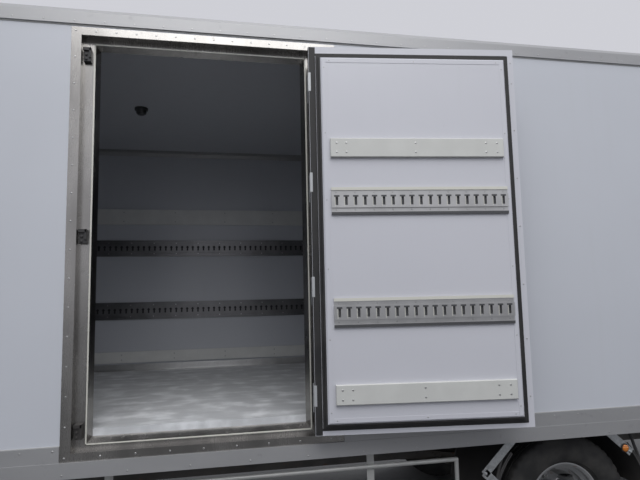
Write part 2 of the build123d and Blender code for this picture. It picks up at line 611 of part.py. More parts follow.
def chassis_frame():
    """Two channel rails, each with its spring hangers, the cab's hinge cheeks and a rear tow eye."""
    rail = block((RAIL_FRONT, RAIL_REAR), (RAIL_SIDE - RAIL_FLANGE, RAIL_SIDE), (RAIL_FOOT, RAIL_TOP))
    hollow = block((RAIL_FRONT - OVER, RAIL_REAR + OVER), (RAIL_SIDE - RAIL_FLANGE - OVER, RAIL_INNER),
                   (RAIL_FOOT + RAIL_STEEL, RAIL_TOP - RAIL_STEEL))
    parts = [rail - hollow]
    x, z = TILT_PIVOT
    seat_end = RAIL_FRONT + 120
    for inward in TILT_CHEEKS:
        y = RAIL_SIDE - inward
        parts.append(prism_xz([(x - 20, z - 22), (RAIL_FRONT, RAIL_TOP - 60), (seat_end, RAIL_TOP - 60),
                               (seat_end, RAIL_TOP + 12), (x, z + 24), (x - 24, z + 10)],
                              (y, y + CHEEK_STEEL)))
    inmost = RAIL_SIDE - TILT_CHEEKS[0]
    parts.append(block((RAIL_FRONT, seat_end), (inmost, RAIL_SIDE), (RAIL_TOP - 8, RAIL_TOP + 12)))
    parts.append(shaft_y(TILT_PIN_RADIUS - RUNNING_FIT, x, z, (inmost - 2, RAIL_SIDE + 2)))
    parts += springs()
    y = (RAIL_INNER - TOW_PLATE, RAIL_INNER)
    z = RAIL_FOOT + RAIL_STEEL + 48
    parts.append(block((RAIL_REAR - 150, TOW_REAR), y, (z - TOW_EYE, z + TOW_EYE)))
    parts.append(shaft_y(TOW_EYE, TOW_REAR, z, y))
    bore = shaft_y(TOW_BORE, TOW_REAR, z, (y[0] - OVER, y[1] + OVER))
    keep("chassis_frame", both_sides(join(parts) - bore))


def cross_members():
    """Channels pressed between the rails' webs, and the bridge that the cab's rear rests on."""
    members = []
    for x in CROSS_MEMBERS:
        front, rear = x - CROSS_WIDTH / 2, x + CROSS_WIDTH / 2
        whole = block((front, rear), (-RAIL_INNER, RAIL_INNER), (CROSS_FOOT, CROSS_TOP))
        hollow = block((front + RAIL_STEEL, rear + OVER), (-RAIL_SIDE + RAIL_FLANGE, RAIL_SIDE - RAIL_FLANGE),
                       (CROSS_FOOT + RAIL_STEEL, CROSS_TOP - RAIL_STEEL))
        members.append(whole - hollow)
    rest = (CAB_BACK - 80, CAB_BACK - 20)
    bridge = block(rest, (-RAIL_SIDE, RAIL_SIDE), (CAB_FLOOR - 40, CAB_FLOOR - SEAT_GAP))
    legs = both_sides(block(rest, (RAIL_SIDE - RAIL_FLANGE, RAIL_SIDE), (RAIL_TOP, CAB_FLOOR - 20)))
    members.append(join([bridge] + legs))
    keep("cross_members", members)


# Drive and chassis equipment

def engine():
    """Engine as one plain block on four feet between the rails, and the radiator ahead of it."""
    body = block(*ENGINE)
    wide = ENGINE[1][1]
    for x in ENGINE_FEET:
        foot = block((x - 35, x + 35), (wide, RAIL_INNER - SEAT_GAP), (600, 640))
        body = body + foot + other_side(foot)
    (x0, x1), (z0, z1) = RADIATOR
    wide = RAIL_SIDE - RAIL_FLANGE - 5
    core = block((x0, x1), (-wide, wide), (z0, z1))
    tanks = [block((x0 - 10, x1 + 10), (-wide, wide), z) for z in ((z0 - 5, z0 + 30), (z1 - 30, z1 + 5))]
    feet = block((x0 + 10, x1 - 10), (wide, RAIL_INNER - SEAT_GAP), (z0 + 55, z0 + 105))
    keep("engine_and_radiator", [body, join([core] + tanks + both_sides(feet))])


def driveline():
    """Gearbox, two lengths of propeller shaft with their joints, and the centre bearing."""
    start, foot = ENGINE[0][1] + SEAT_GAP, ENGINE[2][0] - 30
    gearbox = prism_xz([(start, foot), (start, 850), (680, 830), (GEARBOX_END, GEARBOX_SHAFT + 100),
                        (GEARBOX_END, GEARBOX_SHAFT - 70), (800, foot)], (-GEARBOX_SIDE, GEARBOX_SIDE))
    bearing_x, bearing_z = PROP_BEARING
    nose = WHEELBASE - 260 - SEAT_GAP
    turns = ((GEARBOX_END, 0, GEARBOX_SHAFT), (bearing_x, 0, bearing_z), (nose - 20, 0, TYRE_RADIUS))
    parts = [gearbox]
    for start, end in zip(turns, turns[1:]):
        parts.append(bar(start, end, PROP_RADIUS))
    radius, length = PROP_JOINT
    for x, z in ((GEARBOX_END, GEARBOX_SHAFT), (bearing_x + 60, bearing_z - 5), (nose - length, TYRE_RADIUS)):
        parts.append(shaft_x(radius, 0, z, (x, x + length)))
    parts.append(shaft_x(radius + 10, 0, bearing_z, (bearing_x - 22, bearing_x + 22)))
    parts.append(block((bearing_x - 22, bearing_x + 22), (-radius, radius),
                       (bearing_z, CROSS_FOOT - SEAT_GAP)))
    keep("driveline", join(parts))


def fuel_tank():
    """Tank on two brackets from the right rail, with its filler neck."""
    (x0, x1), (_, y1), (_, z1) = TANK
    tank = fillet(block(*TANK).edges().filter_by(Axis.X), TANK_CORNER)
    for x in (x0 + 180, x1 - 180):
        bracket = [(RAIL_SIDE + SEAT_GAP, 530), (RAIL_SIDE + SEAT_GAP, 735), (TANK[1][0] + 40, 735),
                   (TANK[1][0] + 40, 420), (TANK[1][0] - 20, 420)]
        tank = tank + prism_yz(bracket, (x - 30, x + 30))
    return tank + bar((x0 + 90, y1 - 60, z1 - 90), (x0 + 90, y1 + 25, z1 - 30), 38)


def battery_box():
    """Battery box with its lid's rim, on two arms from the left rail."""
    (x0, x1), (y0, y1), (z0, z1) = BATTERY
    box = fillet(block(*BATTERY).edges().filter_by(Axis.Z), 20)
    lid = block((x0 - 8, x1 + 8), (y0 - 8, y1 + 8), (z1 - 90, z1 - 70))
    arms = [block((x - 25, x + 25), (y1 - 20, -RAIL_SIDE - SEAT_GAP), (z0 + 110, z0 + 230))
            for x in (x0 + 80, x1 - 80)]
    return join([box, lid] + arms)


def silencer():
    """Silencer on the right rail, the pipe that feeds it and its tail pipe."""
    (x0, x1), y, z, radius = SILENCER
    can = fillet(shaft_x(radius, y, z, (x0, x1)).edges().filter_by(GeomType.CIRCLE), 25)
    turn_x, turn_z = EXHAUST_TURN
    corner = (turn_x, y, turn_z)
    parts = [can, bar((turn_x, GEARBOX_SIDE + SEAT_GAP, turn_z), corner, EXHAUST_PIPE),
             bar(corner, (x0 + 20, y, z - 40), EXHAUST_PIPE), Pos(*corner) * Sphere(EXHAUST_PIPE),
             bar((x1 - 20, y + 30, z - 30), (x1 + 90, y + 60, z - 90), EXHAUST_PIPE - 4)]
    parts.append(block((x0 + 140, x0 + 200), (RAIL_SIDE + SEAT_GAP, y - radius + 30), (z - 10, z + 80)))
    return join(parts)


def side_guard():
    """Tube guard between the axles: level rails on posts, strapped to two bearers."""
    parts = []
    front, rear = GUARD_POSTS
    low, high = GUARD_LEVELS[0], GUARD_LEVELS[-1]
    for z in GUARD_LEVELS:
        parts.append(bar((front, GUARD_SIDE, z), (rear, GUARD_SIDE, z), GUARD_TUBE))
    for x in GUARD_POSTS:
        parts.append(bar((x, GUARD_SIDE, low), (x, GUARD_SIDE, high), GUARD_TUBE))
        parts += [Pos(x, GUARD_SIDE, z) * Sphere(GUARD_TUBE) for z in (low, high)]
    strap = (GUARD_SIDE - GUARD_TUBE, GUARD_SIDE - GUARD_TUBE + GUARD_STRAP)
    for x in GUARD_BEARERS:
        parts.append(block((x - 20, x + 20), strap, (low - 20, SILL_TOP)))
    return join(parts)


def mudguard(low, high):
    """Bowed flap between two angles over the right rear wheels, on its stay."""
    middle = radians((low + high) / 2)
    face = Pos(WHEELBASE, TYRE_RADIUS) * make_face([
        CenterArc((0, 0), FLAP_RADIUS, low, high - low),
        CenterArc((0, 0), FLAP_RADIUS + FLAP_STEEL, low, high - low),
        Line(polar_point(FLAP_RADIUS, low), polar_point(FLAP_RADIUS + FLAP_STEEL, low)),
        Line(polar_point(FLAP_RADIUS, high), polar_point(FLAP_RADIUS + FLAP_STEEL, high)),
    ])
    flap = prism_xz(face, FLAP_SIDE)
    reach = FLAP_RADIUS + FLAP_STEEL + 6
    seat = (WHEELBASE + reach * cos(middle), TYRE_RADIUS + reach * sin(middle))
    y = FLAP_SIDE[1] - 8
    inward = -70 if cos(middle) > 0 else 70
    stay = bar((seat[0], y, seat[1]), (seat[0] + inward, y, SILL_TOP), 9)
    above = block((0, BOX_REAR), (0, BOX_SIDE), (SILL_TOP - RAIL_LIP - SEAT_GAP, BOX_TOP))
    return flap + (stay - above)


def equipment():
    """What hangs on the rails and bearers beside the drive."""
    keep("tank_battery_silencer", [fuel_tank(), battery_box(), silencer()])
    guards = both_sides(side_guard())
    for low, high in FLAP_ARCS:
        guards += both_sides(mudguard(low, high))
    keep("guards", guards)


def front_bumper():
    """Front bumper wrapped round the cab's corners, with lamp pockets, arms and tow eyes."""
    half = CAB_SIDE
    outline = [(BUMPER_FRONT, -half + 260), (BUMPER_FRONT + 70, -half + 60), (BUMPER_FRONT + 150, -half),
               (BUMPER_BACK + 200, -half), (BUMPER_BACK + 200, -half + 40), (BUMPER_BACK + 100, -half + 40),
               (BUMPER_BACK, -half + 180)]
    beam = prism_xy(outline + [(x, -y) for x, y in reversed(outline)], (BUMPER_FOOT, BUMPER_TOP))
    beam = beam - block((BUMPER_BACK, 0), (-half - OVER, half + OVER), (BUMPER_TOP - 30, BUMPER_TOP + OVER))
    beam = beam - block((BUMPER_FRONT + 40, BUMPER_BACK + OVER), (-half + 300, half - 300),
                        (BUMPER_FOOT + 25, BUMPER_TOP - 30))
    pocket = block((BUMPER_FRONT - OVER, BUMPER_FRONT + LAMP_DEPTH), LAMP_SPAN, LAMP_LEVEL)
    beam = beam - pocket - other_side(pocket)
    tow_x, tow_z = TOW_FRONT
    y = (RAIL_INNER - TOW_PLATE, RAIL_INNER)
    web = BUMPER_FRONT + 39
    arm = prism_xz([(web, BUMPER_FOOT + 30), (tow_x, tow_z - 34), (RAIL_FRONT + 150, RAIL_FOOT - 60),
                    (RAIL_FRONT + 150, RAIL_FOOT), (RAIL_FRONT, RAIL_FOOT), (RAIL_FRONT - 10, 505),
                    (web, 505)], y)
    arm = arm + shaft_y(TOW_EYE, tow_x, tow_z, y)
    arm = arm - shaft_y(TOW_BORE, tow_x, tow_z, (y[0] - OVER, y[1] + OVER))
    keep("front_bumper", join([beam] + both_sides(arm)))


def rear_bumper():
    """Rear underrun beam on its two arms."""
    depth, half, foot, top = UNDERRUN
    beam = block((UNDERRUN_X - depth, UNDERRUN_X), (-half, half), (foot, top))
    beam = fillet(beam.edges().filter_by(Axis.Y), 12)
    arm = prism_xz([(UNDERRUN_X - depth + 10, top - 30), (UNDERRUN_X - 20, top - 30),
                    (RAIL_REAR, RAIL_FOOT + 30), (RAIL_REAR, RAIL_TOP - 20),
                    (RAIL_REAR - 160, RAIL_TOP - 20), (RAIL_REAR - 160, RAIL_FOOT + 30)],
                   (-RAIL_SIDE - 10, -RAIL_SIDE))
    keep("rear_bumper", join([beam] + both_sides(arm)))


def lamps():
    """Head lamps in the bumper's pockets, and tail lamps hung from the body's sills."""
    (y0, y1), (z0, z1) = LAMP_SPAN, LAMP_LEVEL
    head = block((BUMPER_FRONT - 4, BUMPER_FRONT + LAMP_DEPTH - SEAT_GAP), (y0 + SEAT_GAP, y1 - SEAT_GAP),
                 (z0 + SEAT_GAP, z1 - SEAT_GAP))
    head = fillet(head.faces().sort_by(Axis.X)[0].edges(), 3.5)
    (y0, y1), (z0, z1) = REAR_LAMP
    tail = fillet(block((UNDERRUN_X - 60, UNDERRUN_X + 12), (y0, y1), (z0, z1)).edges().filter_by(Axis.X), 10)
    for y in (y0 + 50, y1 - 100):
        tail = tail + block((UNDERRUN_X - 52, UNDERRUN_X - 22), (y, y + 50), (z1 - 2, SILL_TOP))
    keep("lamps", both_sides(head) + both_sides(tail))


# Box body

def subframe():
    """Two long sills on the rails, and above them the channel bearers that carry the floor."""
    sill = block((BOX_FRONT + 20, PANELS_END), (RAIL_SIDE - RAIL_FLANGE, RAIL_SIDE), (RAIL_TOP, SILL_TOP))
    keep("box_subframe", both_sides(sill))
    bearers = []
    for x in BEARERS:
        reach = 600 if WHEEL_BAY[0] < x < WHEEL_BAY[1] else BOX_SIDE - 12
        half = BEARER_WIDTH / 2
        whole = block((x - half, x + half), (-reach, reach), (SILL_TOP, PANEL_FOOT))
        hollow = block((x - half + BEARER_STEEL, x + half + OVER), (-reach - OVER, reach + OVER),
                       (SILL_TOP + BEARER_STEEL, PANEL_FOOT - BEARER_STEEL))
        bearers.append(whole - hollow)
    keep("floor_bearers", bearers)


def box_panels():
    """Sandwich panels: floor, roof, front, right wall, and the left wall round its doorway."""
    inside = BOX_FRONT + WALL
    height = (PANEL_FOOT, CEILING)
    keep("box_floor", block((inside, PANELS_END), (-WALL_INSIDE, WALL_INSIDE), (PANEL_FOOT, FLOOR_TOP)))
    keep("box_roof", block((BOX_FRONT, PANELS_END), (-BOX_SIDE, BOX_SIDE), (CEILING, BOX_TOP)))
    keep("wall_front", block((BOX_FRONT, inside), (-WALL_INSIDE, WALL_INSIDE), height))
    keep("wall_right", block((BOX_FRONT, PANELS_END), (WALL_INSIDE, BOX_SIDE), height))
    hole = (DOORWAY_FRONT + FRAME_LAP, DOORWAY_FRONT + FRAME_WIDTH - FRAME_LAP)
    head = DOORWAY_FOOT + FRAME_HEIGHT - FRAME_LAP
    depth = (-BOX_SIDE, -WALL_INSIDE)
    keep("wall_left", [block((BOX_FRONT, hole[0]), depth, height),
                       block((hole[1], PANELS_END), depth, height),
                       block((hole[0] + SAW_GAP, hole[1] - SAW_GAP), depth, (head, CEILING))])


def edge_rails():
    """Extruded rails along the walls' feet and heads, and the upright ones at the front corners."""
    step_top = DOORWAY_FOOT - 1
    low_top = SILL_TOP + LOWER_RAIL
    parts = []
    for side in (LEFT, RIGHT):
        outer = side * (BOX_SIDE + LOWER_PROUD)
        whole = (BOX_FRONT, PANELS_END)
        low_band = block(whole, sorted((side * BOX_SIDE, outer)), (SILL_TOP, step_top))
        lip = block(whole, sorted((side * (BOX_SIDE - 60), outer)), (SILL_TOP - RAIL_LIP, SILL_TOP))
        spans = (whole,)
        if side == LEFT:
            spans = ((BOX_FRONT, DOORWAY_FRONT - 1), (DOORWAY_FRONT + FRAME_WIDTH + 1, PANELS_END))
        upper = sorted((side * BOX_SIDE, side * (BOX_SIDE + RAIL_PROUD)))
        parts.append(join([low_band, lip] + [block(span, upper, (step_top, low_top)) for span in spans]))
        face, foot = side * (BOX_SIDE + RAIL_PROUD), BOX_TOP - UPPER_RAIL
        parts.append(prism_yz([(side * BOX_SIDE, foot), (face, foot + 4), (face, BOX_TOP - 14),
                               (side * (BOX_SIDE - 4), RAIL_CAP), (side * (BOX_SIDE - 55), RAIL_CAP),
                               (side * (BOX_SIDE - 55), BOX_TOP), (side * BOX_SIDE, BOX_TOP)], whole))
        parts.append(prism_xy([(BOX_FRONT - 8, side * (BOX_SIDE - 50)),
                               (BOX_FRONT - 8, side * (BOX_SIDE - 6)),
                               (BOX_FRONT, side * (BOX_SIDE + 6)), (BOX_FRONT + 50, side * (BOX_SIDE + 6)),
                               (BOX_FRONT + 50, side * BOX_SIDE), (BOX_FRONT, side * BOX_SIDE),
                               (BOX_FRONT, side * (BOX_SIDE - 50))], (low_top + 1, foot - 1)))
    keep("edge_rails", parts)


# Side door

def at_door(shape):
    """Move a shape from the doorway's own axes to its place in the left wall.

    There x runs to the rear from the flange's edge, y into the wall and z up.
    """
    return Pos(DOORWAY_FRONT, -BOX_SIDE, DOORWAY_FOOT) * shape


def inside_flange(inset):
    """The x and z spans that are in from the flange's edges by (front, rear, foot, head)."""
    front, rear, foot, head = inset
    return (front, FRAME_WIDTH - rear), (foot, FRAME_HEIGHT - head)


def side_door_frame():
    """Pressed frame round the side doorway: a flange, two steps, and a tapered way in.

    It is four members, butted at the corners, with three catches on the front strip.
    """
    recess_x, recess_z = inside_flange(RECESS_INSET)
    ring = block((0, FRAME_WIDTH), (-FRAME_PROUD, 0), (0, FRAME_HEIGHT))
    ring = ring + block((FRAME_LAP, FRAME_WIDTH - FRAME_LAP), (0, WALL),
                        (FRAME_LAP, FRAME_HEIGHT - FRAME_LAP))
    ring = ring - block(recess_x, (-FRAME_PROUD - OVER, RECESS_DEPTH), recess_z)
    way_in = []
    for inset, depth in ((STRIP_INSET, RECESS_DEPTH), (CLEAR_INSET, WALL)):
        x, z = inside_flange(inset)
        corners = [(x[0], depth, z[0]), (x[1], depth, z[0]), (x[1], depth, z[1]), (x[0], depth, z[1])]
        way_in.append(make_face(Polyline(*corners, close=True)))
    ring = ring - loft(way_in)
    x, z = inside_flange(CLEAR_INSET)
    tall, middle = (-OVER, FRAME_HEIGHT + OVER), (x[0] + SAW_GAP, x[1] - SAW_GAP)
    spans = [((-OVER, x[0]), tall), ((x[1], FRAME_WIDTH + OVER), tall),
             (middle, (-OVER, FRAME_HEIGHT / 2)), (middle, (FRAME_HEIGHT / 2, FRAME_HEIGHT + OVER))]
    members = [ring & block(span, (-FRAME_PROUD - OVER, WALL + OVER), rise) for span, rise in spans]
    for level in CATCH_LEVELS:
        members[0] = members[0] + block((recess_x[0] + CATCH_SPAN[0], recess_x[0] + CATCH_SPAN[1]),
                                        (RECESS_DEPTH - CATCH_PROUD, RECESS_DEPTH),
                                        (level - CATCH_HALF, level + CATCH_HALF))
    keep("side_door_frame", [at_door(member) for member in members])


def opened(shape):
    """Swing a shape of the closed leaf about the hinge line to the open pose, and place it."""
    swing = Pos(PIN[0], PIN[1], 0) * Rot(0, 0, OPEN_ANGLE) * Pos(-PIN[0], -PIN[1], 0)
    return at_door(swing * shape)


def side_leaf():
    """Outer slab with its plug, and the seal: a foot on the slab and a skirt round the plug."""
    recess_x, recess_z = inside_flange(RECESS_INSET)
    front, rear, foot, head = LEAF_CLEAR
    x = (recess_x[0] + front, recess_x[1] - rear)
    z = (recess_z[0] + foot, recess_z[1] - head)
    plug_x, plug_z = inside_flange(PLUG_INSET)
    plug = block(plug_x, (SLAB_THICK, PLUG_FACE), plug_z)
    leaf = block(x, (0, SLAB_THICK), z) + chamfer(plug.faces().sort_by(Axis.Y)[-1].edges(), 6)
    keep("side_leaf", opened(leaf))
    foot_wide, foot_high = SEAL_FOOT
    seal = None
    for wide, y in ((foot_wide, (SLAB_THICK, SLAB_THICK + foot_high)),
                    (SEAL_SKIRT, (SLAB_THICK, PLUG_FACE - SEAL_SHORT))):
        ring = block((plug_x[0] - wide, plug_x[1] + wide), y, (plug_z[0] - wide, plug_z[1] + wide))
        seal = ring if seal is None else seal + ring
    keep("side_gasket", opened(seal - block(plug_x, (0, WALL), plug_z)))
    side_door_gear(x, z)


def side_door_gear(leaf_x, leaf_z):
    """Four strap hinges whose posts stand on the frame, and the lock: a rod, its guides and a handle.

    leaf_x and leaf_z are the spans of the leaf's outer slab.
    """
    post_x = FRAME_WIDTH - RECESS_INSET[1] + 3
    gear = []
    for top in HINGE_TOPS:
        foot = top - HINGE_LEAF
        strap = block((PIN[0] - 170, PIN[0] - 4), (-6, 0), (foot, top))
        strap = strap + prism_xy([(PIN[0] - 34, -6), (PIN[0] - 8, PIN[1] - 9), PIN, (PIN[0] - 4, -6)],
                                 (foot, top))
        strap = strap + shaft_z(DOOR_BARREL, *PIN, (foot, top))
        gear.append(opened(strap + shaft_z(DOOR_PIN_RADIUS, *PIN, (foot - HINGE_POST - 6, top))))
        low, high = foot - HINGE_POST, foot - SEAT_GAP
        post = block((post_x, post_x + 72), (-FRAME_PROUD - 6, -FRAME_PROUD), (low - 32, high + 60))
        post = post + prism_xy([(post_x, -FRAME_PROUD), (PIN[0] + 2, PIN[1] + 9), PIN,
                                (PIN[0] + 9, PIN[1] - 7), (post_x + 27, -FRAME_PROUD - 6)], (low, high))
        post = post + shaft_z(DOOR_BARREL, *PIN, (low, high))
        bore = shaft_z(DOOR_PIN_RADIUS + RUNNING_FIT, *PIN, (low - OVER, high + OVER))
        hinge_brackets.append(at_door(post - bore))
    keep("hinge_brackets", hinge_brackets)
    inward, proud, radius = LOCK_ROD
    rod_x, rod_y = leaf_x[0] + inward, -proud
    lock = shaft_z(radius, rod_x, rod_y, (leaf_z[0] + 40, leaf_z[1] - 40))
    for level in CATCH_LEVELS:
        lock = lock + block((rod_x - 20, rod_x + 20), (rod_y - 9, 0), (level - 25, level + 25))
    lock = lock + block((rod_x, rod_x + 240), (rod_y - 12, rod_y - 2), (LOCK_LEVEL, LOCK_LEVEL + 32))
    lock = lock + block((rod_x + 190, rod_x + 245), (rod_y - 2, 0), (LOCK_LEVEL - 10, LOCK_LEVEL + 42))
    keep("side_door_gear", gear + [opened(lock)])


def leaf_lining():
    """Two slotted lashing rails and two boards across the leaf's inner face."""
    plug_x, _ = inside_flange(PLUG_INSET)
    rail_in, board_in, rear_in = LINING_INSET
    x = (plug_x[0] + rail_in, plug_x[1] - rear_in)
    gaps = int((x[1] - x[0] - 2 * SLOT_MARGIN) / SLOT_PITCH)
    start = (x[0] + x[1] - gaps * SLOT_PITCH) / 2
    half_wide, half_high = SLOT[0] / 2, SLOT[1] / 2
    rails = []
    for low, high in RAIL_LEVELS:
        middle = (low + high) / 2
        rail = block(x, (PLUG_FACE, PLUG_FACE + 4), (low, high))
        rail = rail + block(x, (PLUG_FACE + 4, PLUG_FACE + LINING_RAIL), (middle - 36, middle + 36))
        for lip in ((high - 16, high), (low, low + 16)):
            rail = rail + block(x, (PLUG_FACE + 4, PLUG_FACE + 9), lip)
        for step in range(gaps + 1):
            slot = start + step * SLOT_PITCH
            rail = rail - block((slot - half_wide, slot + half_wide),
                                (PLUG_FACE + 4, PLUG_FACE + LINING_RAIL + OVER),
                                (middle - half_high, middle + half_high))
        rails.append(opened(rail))
    keep("leaf_rails", rails)
    boards = []
    for level in BOARD_LEVELS:
        board = block((plug_x[0] + board_in, x[1]), (PLUG_FACE, PLUG_FACE + BOARD_THICK), level)
        boards.append(opened(chamfer(board.faces().sort_by(Axis.Y)[-1].edges(), 3)))
    keep("leaf_boards", boards)


# Rear doors

def rear_frame():
    """Portal round the rear doors: two posts, header and sill, with the rods' keepers."""
    x = (PANELS_END, BOX_REAR)
    between = (-POST_IN + SAW_GAP, POST_IN - SAW_GAP)
    posts = both_sides(block(x, (POST_IN, BOX_SIDE + RAIL_PROUD), (SILL_TOP, RAIL_CAP)))
    head = block(x, between, (BOX_TOP - PORTAL_HEAD, RAIL_CAP))
    sill = block(x, between, (SILL_TOP, PORTAL_SILL))
    for y in (-ROD_AT, ROD_AT):
        keeper = (y - 30, y + 30)
        head = head + block((BOX_REAR, ROD_X + 8), keeper, (LEAF_HEAD + 30, LEAF_HEAD + 42))
        sill = sill + block((BOX_REAR, ROD_X + 8), keeper, (LEAF_FOOT - 42, LEAF_FOOT - 30))
    keep("rear_frame", posts + [head, sill])


def lock_rod():
    """Rod down the right leaf with its guides, and the handle that turns it."""
    rod = shaft_z(ROD_RADIUS, ROD_X, ROD_AT, (LEAF_FOOT - 25, LEAF_HEAD + 25))
    for z in ROD_GUIDES:
        rod = rod + block((LEAF_BACK, ROD_X + 4), (ROD_AT - 28, ROD_AT + 28), (z - 20, z + 20))
    low, end = LEAF_FOOT + HANDLE_RISE, ROD_AT + HANDLE_REACH
    rod = rod + block((ROD_X - 4, ROD_X + 12), (ROD_AT, end), (low, low + 32))
    return rod + block((LEAF_BACK, ROD_X + 12), (end - 30, end + 15), (low - 8, low + 40))


def rear_doors():
    """Two rear leaves with plugs, strap hinges on pins outside the posts, and lock rods."""
    x0 = BOX_REAR + LEAF_GAP
    slab = block((x0, LEAF_BACK), (LEAF_MEET, LEAF_EDGE), (LEAF_FOOT, LEAF_HEAD))
    slab = fillet(slab.faces().sort_by(Axis.X)[-1].edges(), 6)
    plug = block((x0 - LEAF_PLUG, x0), (LEAF_MEET + 24, POST_IN - 12),
                 (FLOOR_TOP + 10, BOX_TOP - PORTAL_HEAD - 12))
    keep("rear_leaf_right", slab + plug)
    keep("rear_leaf_left", other_side(slab + plug))
    pin_x, pin_y = REAR_PIN
    inner = LEAF_EDGE - STRAP_REACH
    gear = []
    for z in REAR_HINGES:
        strap = prism_xy([(LEAF_BACK, inner), (LEAF_BACK, LEAF_EDGE), (pin_x, pin_y), (pin_x + 8, pin_y - 10),
                          (LEAF_BACK + 12, LEAF_EDGE - 20), (LEAF_BACK + 8, inner)],
                         (z - STRAP_HALF, z + STRAP_HALF))
        strap = strap + shaft_z(HINGE_BARREL, pin_x, pin_y, (z - STRAP_HALF, z + STRAP_HALF))
        gear.append(strap + shaft_z(REAR_PIN_RADIUS, pin_x, pin_y, (z - BRACKET_HALF, z + BRACKET_HALF)))
        hinge_brackets.extend(both_sides(rear_bracket(z)))
    gear.append(lock_rod())
    keep("rear_gear_right", gear)
    keep("rear_gear_left", [other_side(piece) for piece in gear])


def rear_bracket(z):
    """Forked bracket on the right post that holds one rear hinge's pin."""
    pin_x, pin_y = REAR_PIN
    post_side = BOX_SIDE + RAIL_PROUD
    bracket = block((BOX_REAR - 55, BOX_REAR), (post_side, post_side + 8),
                    (z - BRACKET_HALF, z + BRACKET_HALF))
    clear = STRAP_HALF + SEAT_GAP
    for low, high in ((z - BRACKET_HALF, z - clear), (z + clear, z + BRACKET_HALF)):
        arm = prism_xy([(BOX_REAR - 20, post_side), (BOX_REAR - 20, post_side + 8),
                        (pin_x - 4, pin_y + HINGE_BARREL), (pin_x, pin_y),
                        (pin_x - 10, pin_y - HINGE_BARREL + 3), (BOX_REAR + 2, post_side)], (low, high))
        arm = arm + shaft_z(HINGE_BARREL, pin_x, pin_y, (low, high))
        bore = shaft_z(REAR_PIN_RADIUS + RUNNING_FIT, pin_x, pin_y, (low - OVER, high + OVER))
        bracket = bracket + (arm - bore)
    return bracket


# Lining and cooling plant

def lining():
    """Lashing rails and rubbing boards along both walls, left out across the doorway."""
    x = (BOX_FRONT + WALL + 40, PANELS_END - 20)
    door = (DOORWAY_FRONT, DOORWAY_FRONT + FRAME_WIDTH)
    strips = []
    for levels, thick, slotted in ((LINING_RAILS, LINING_RAIL, True), (LINING_BOARDS, BOARD_THICK, False)):
        for z in levels:
            for side, spans in ((RIGHT, (x,)), (LEFT, ((x[0], door[0]), (door[1], x[1])))):
                y = sorted((side * WALL_INSIDE, side * (WALL_INSIDE - thick)))
                face = sorted((side * (WALL_INSIDE - 5), side * (WALL_INSIDE - thick - OVER)))
                for span in spans:
                    strip = block(span, y, z)
                    if slotted:
                        for trough in ((z[0] + TROUGH[0], z[0] + TROUGH[1]),
                                       (z[1] - TROUGH[1], z[1] - TROUGH[0])):
                            strip = strip - block((span[0] - OVER, span[1] + OVER), face, trough)
                    strips.append(strip)
    keep("wall_lining", strips)


def cooling():
    """Cooling plant on the box's front above the cab, and its cooler under the ceiling."""
    (x0, x1), y, z = PLANT
    body = prism_xz([(x1, z[0] + 60), (x1, z[1]), (x0 + 90, z[1]), (x0, z[1] - 120), (x0, z[0] + 110),
                     (x0 + 120, z[0]), (x1 - 60, z[0])], y)
    ends = [edge for face in (body.faces().sort_by(Axis.Y)[0], body.faces().sort_by(Axis.Y)[-1])
            for edge in face.edges() if edge.center().X < x1 - 1]
    body = fillet(ends, 22)
    count, pitch, margin = PLANT_SLOTS
    for step in range(count):
        level = z[0] + 130 + step * pitch
        body = body - block((x0 - OVER, x0 + 14), (y[0] + margin, y[1] - margin), (level, level + pitch / 2))
    keep("cooling_plant", body)
    (x0, x1), y, z = COOLER
    cooler = prism_xz([(x0, z[0] + 60), (x0, z[1] - SEAT_GAP), (x1, z[1] - SEAT_GAP), (x1, z[1] - 70),
                       (x1 - 130, z[0]), (x0 + 60, z[0])], y)
    centres, radius = COOLER_FANS
    for centre in centres:
        cooler = cooler - shaft_z(radius, x1 - 250, centre, (z[0] - OVER, z[0] + 22))
    keep("cooler", cooler)


# Cab

def cab_form(inset, foot):
    """Solid with the cab's outer shape, all its walls moved in by inset, down to foot."""
    front, back = CAB_FRONT + inset, CAB_BACK - inset
    lean = (SCREEN_TOP[0] - CAB_FRONT) / (SCREEN_TOP[1] - BELT)
    screen_x = SCREEN_TOP[0] + inset * sqrt(1 + lean ** 2)
    outline = [(front, foot), (front, BELT - inset * 0.15), (screen_x, SCREEN_TOP[1] - inset * 0.2),
               (ROOF_FRONT[0] + inset * 0.6, ROOF_FRONT[1] - inset), (back, CAB_ROOF - inset), (back, foot)]
    side = CAB_SIDE - inset
    form = prism_xz(outline, (-side, side))
    rounded = [edge for edge in form.edges() if abs(abs(edge.center().Y) - side) < 1
               and edge.center().Z > foot + 1 and edge.center().X < back - 1]
    return fillet(rounded, SIDE_ROUND - inset)


def door_outline(gap, lead):
    """Outline of the cab's door, in by gap from its opening, its slant starting lower by lead."""
    front = DOOR_FRONT + gap - 10
    return [(front, DOOR_LOW + gap), (front, BELT - lead), (DOOR_TOP_FRONT + gap, DOOR_HIGH - gap),
            (DOOR_BACK - gap, DOOR_HIGH - gap), (DOOR_BACK - gap, DOOR_LOW + gap)]


def window_outline(gap):
    """Outline of the window in the cab's door."""
    front, back = DOOR_FRONT + WINDOW_SIDE + gap, DOOR_BACK - WINDOW_SIDE - gap
    return [(front, WINDOW_FOOT + gap), (WINDOW_TOP_FRONT + gap, WINDOW_HEAD - gap),
            (back, WINDOW_HEAD - gap), (back, WINDOW_FOOT + gap)]


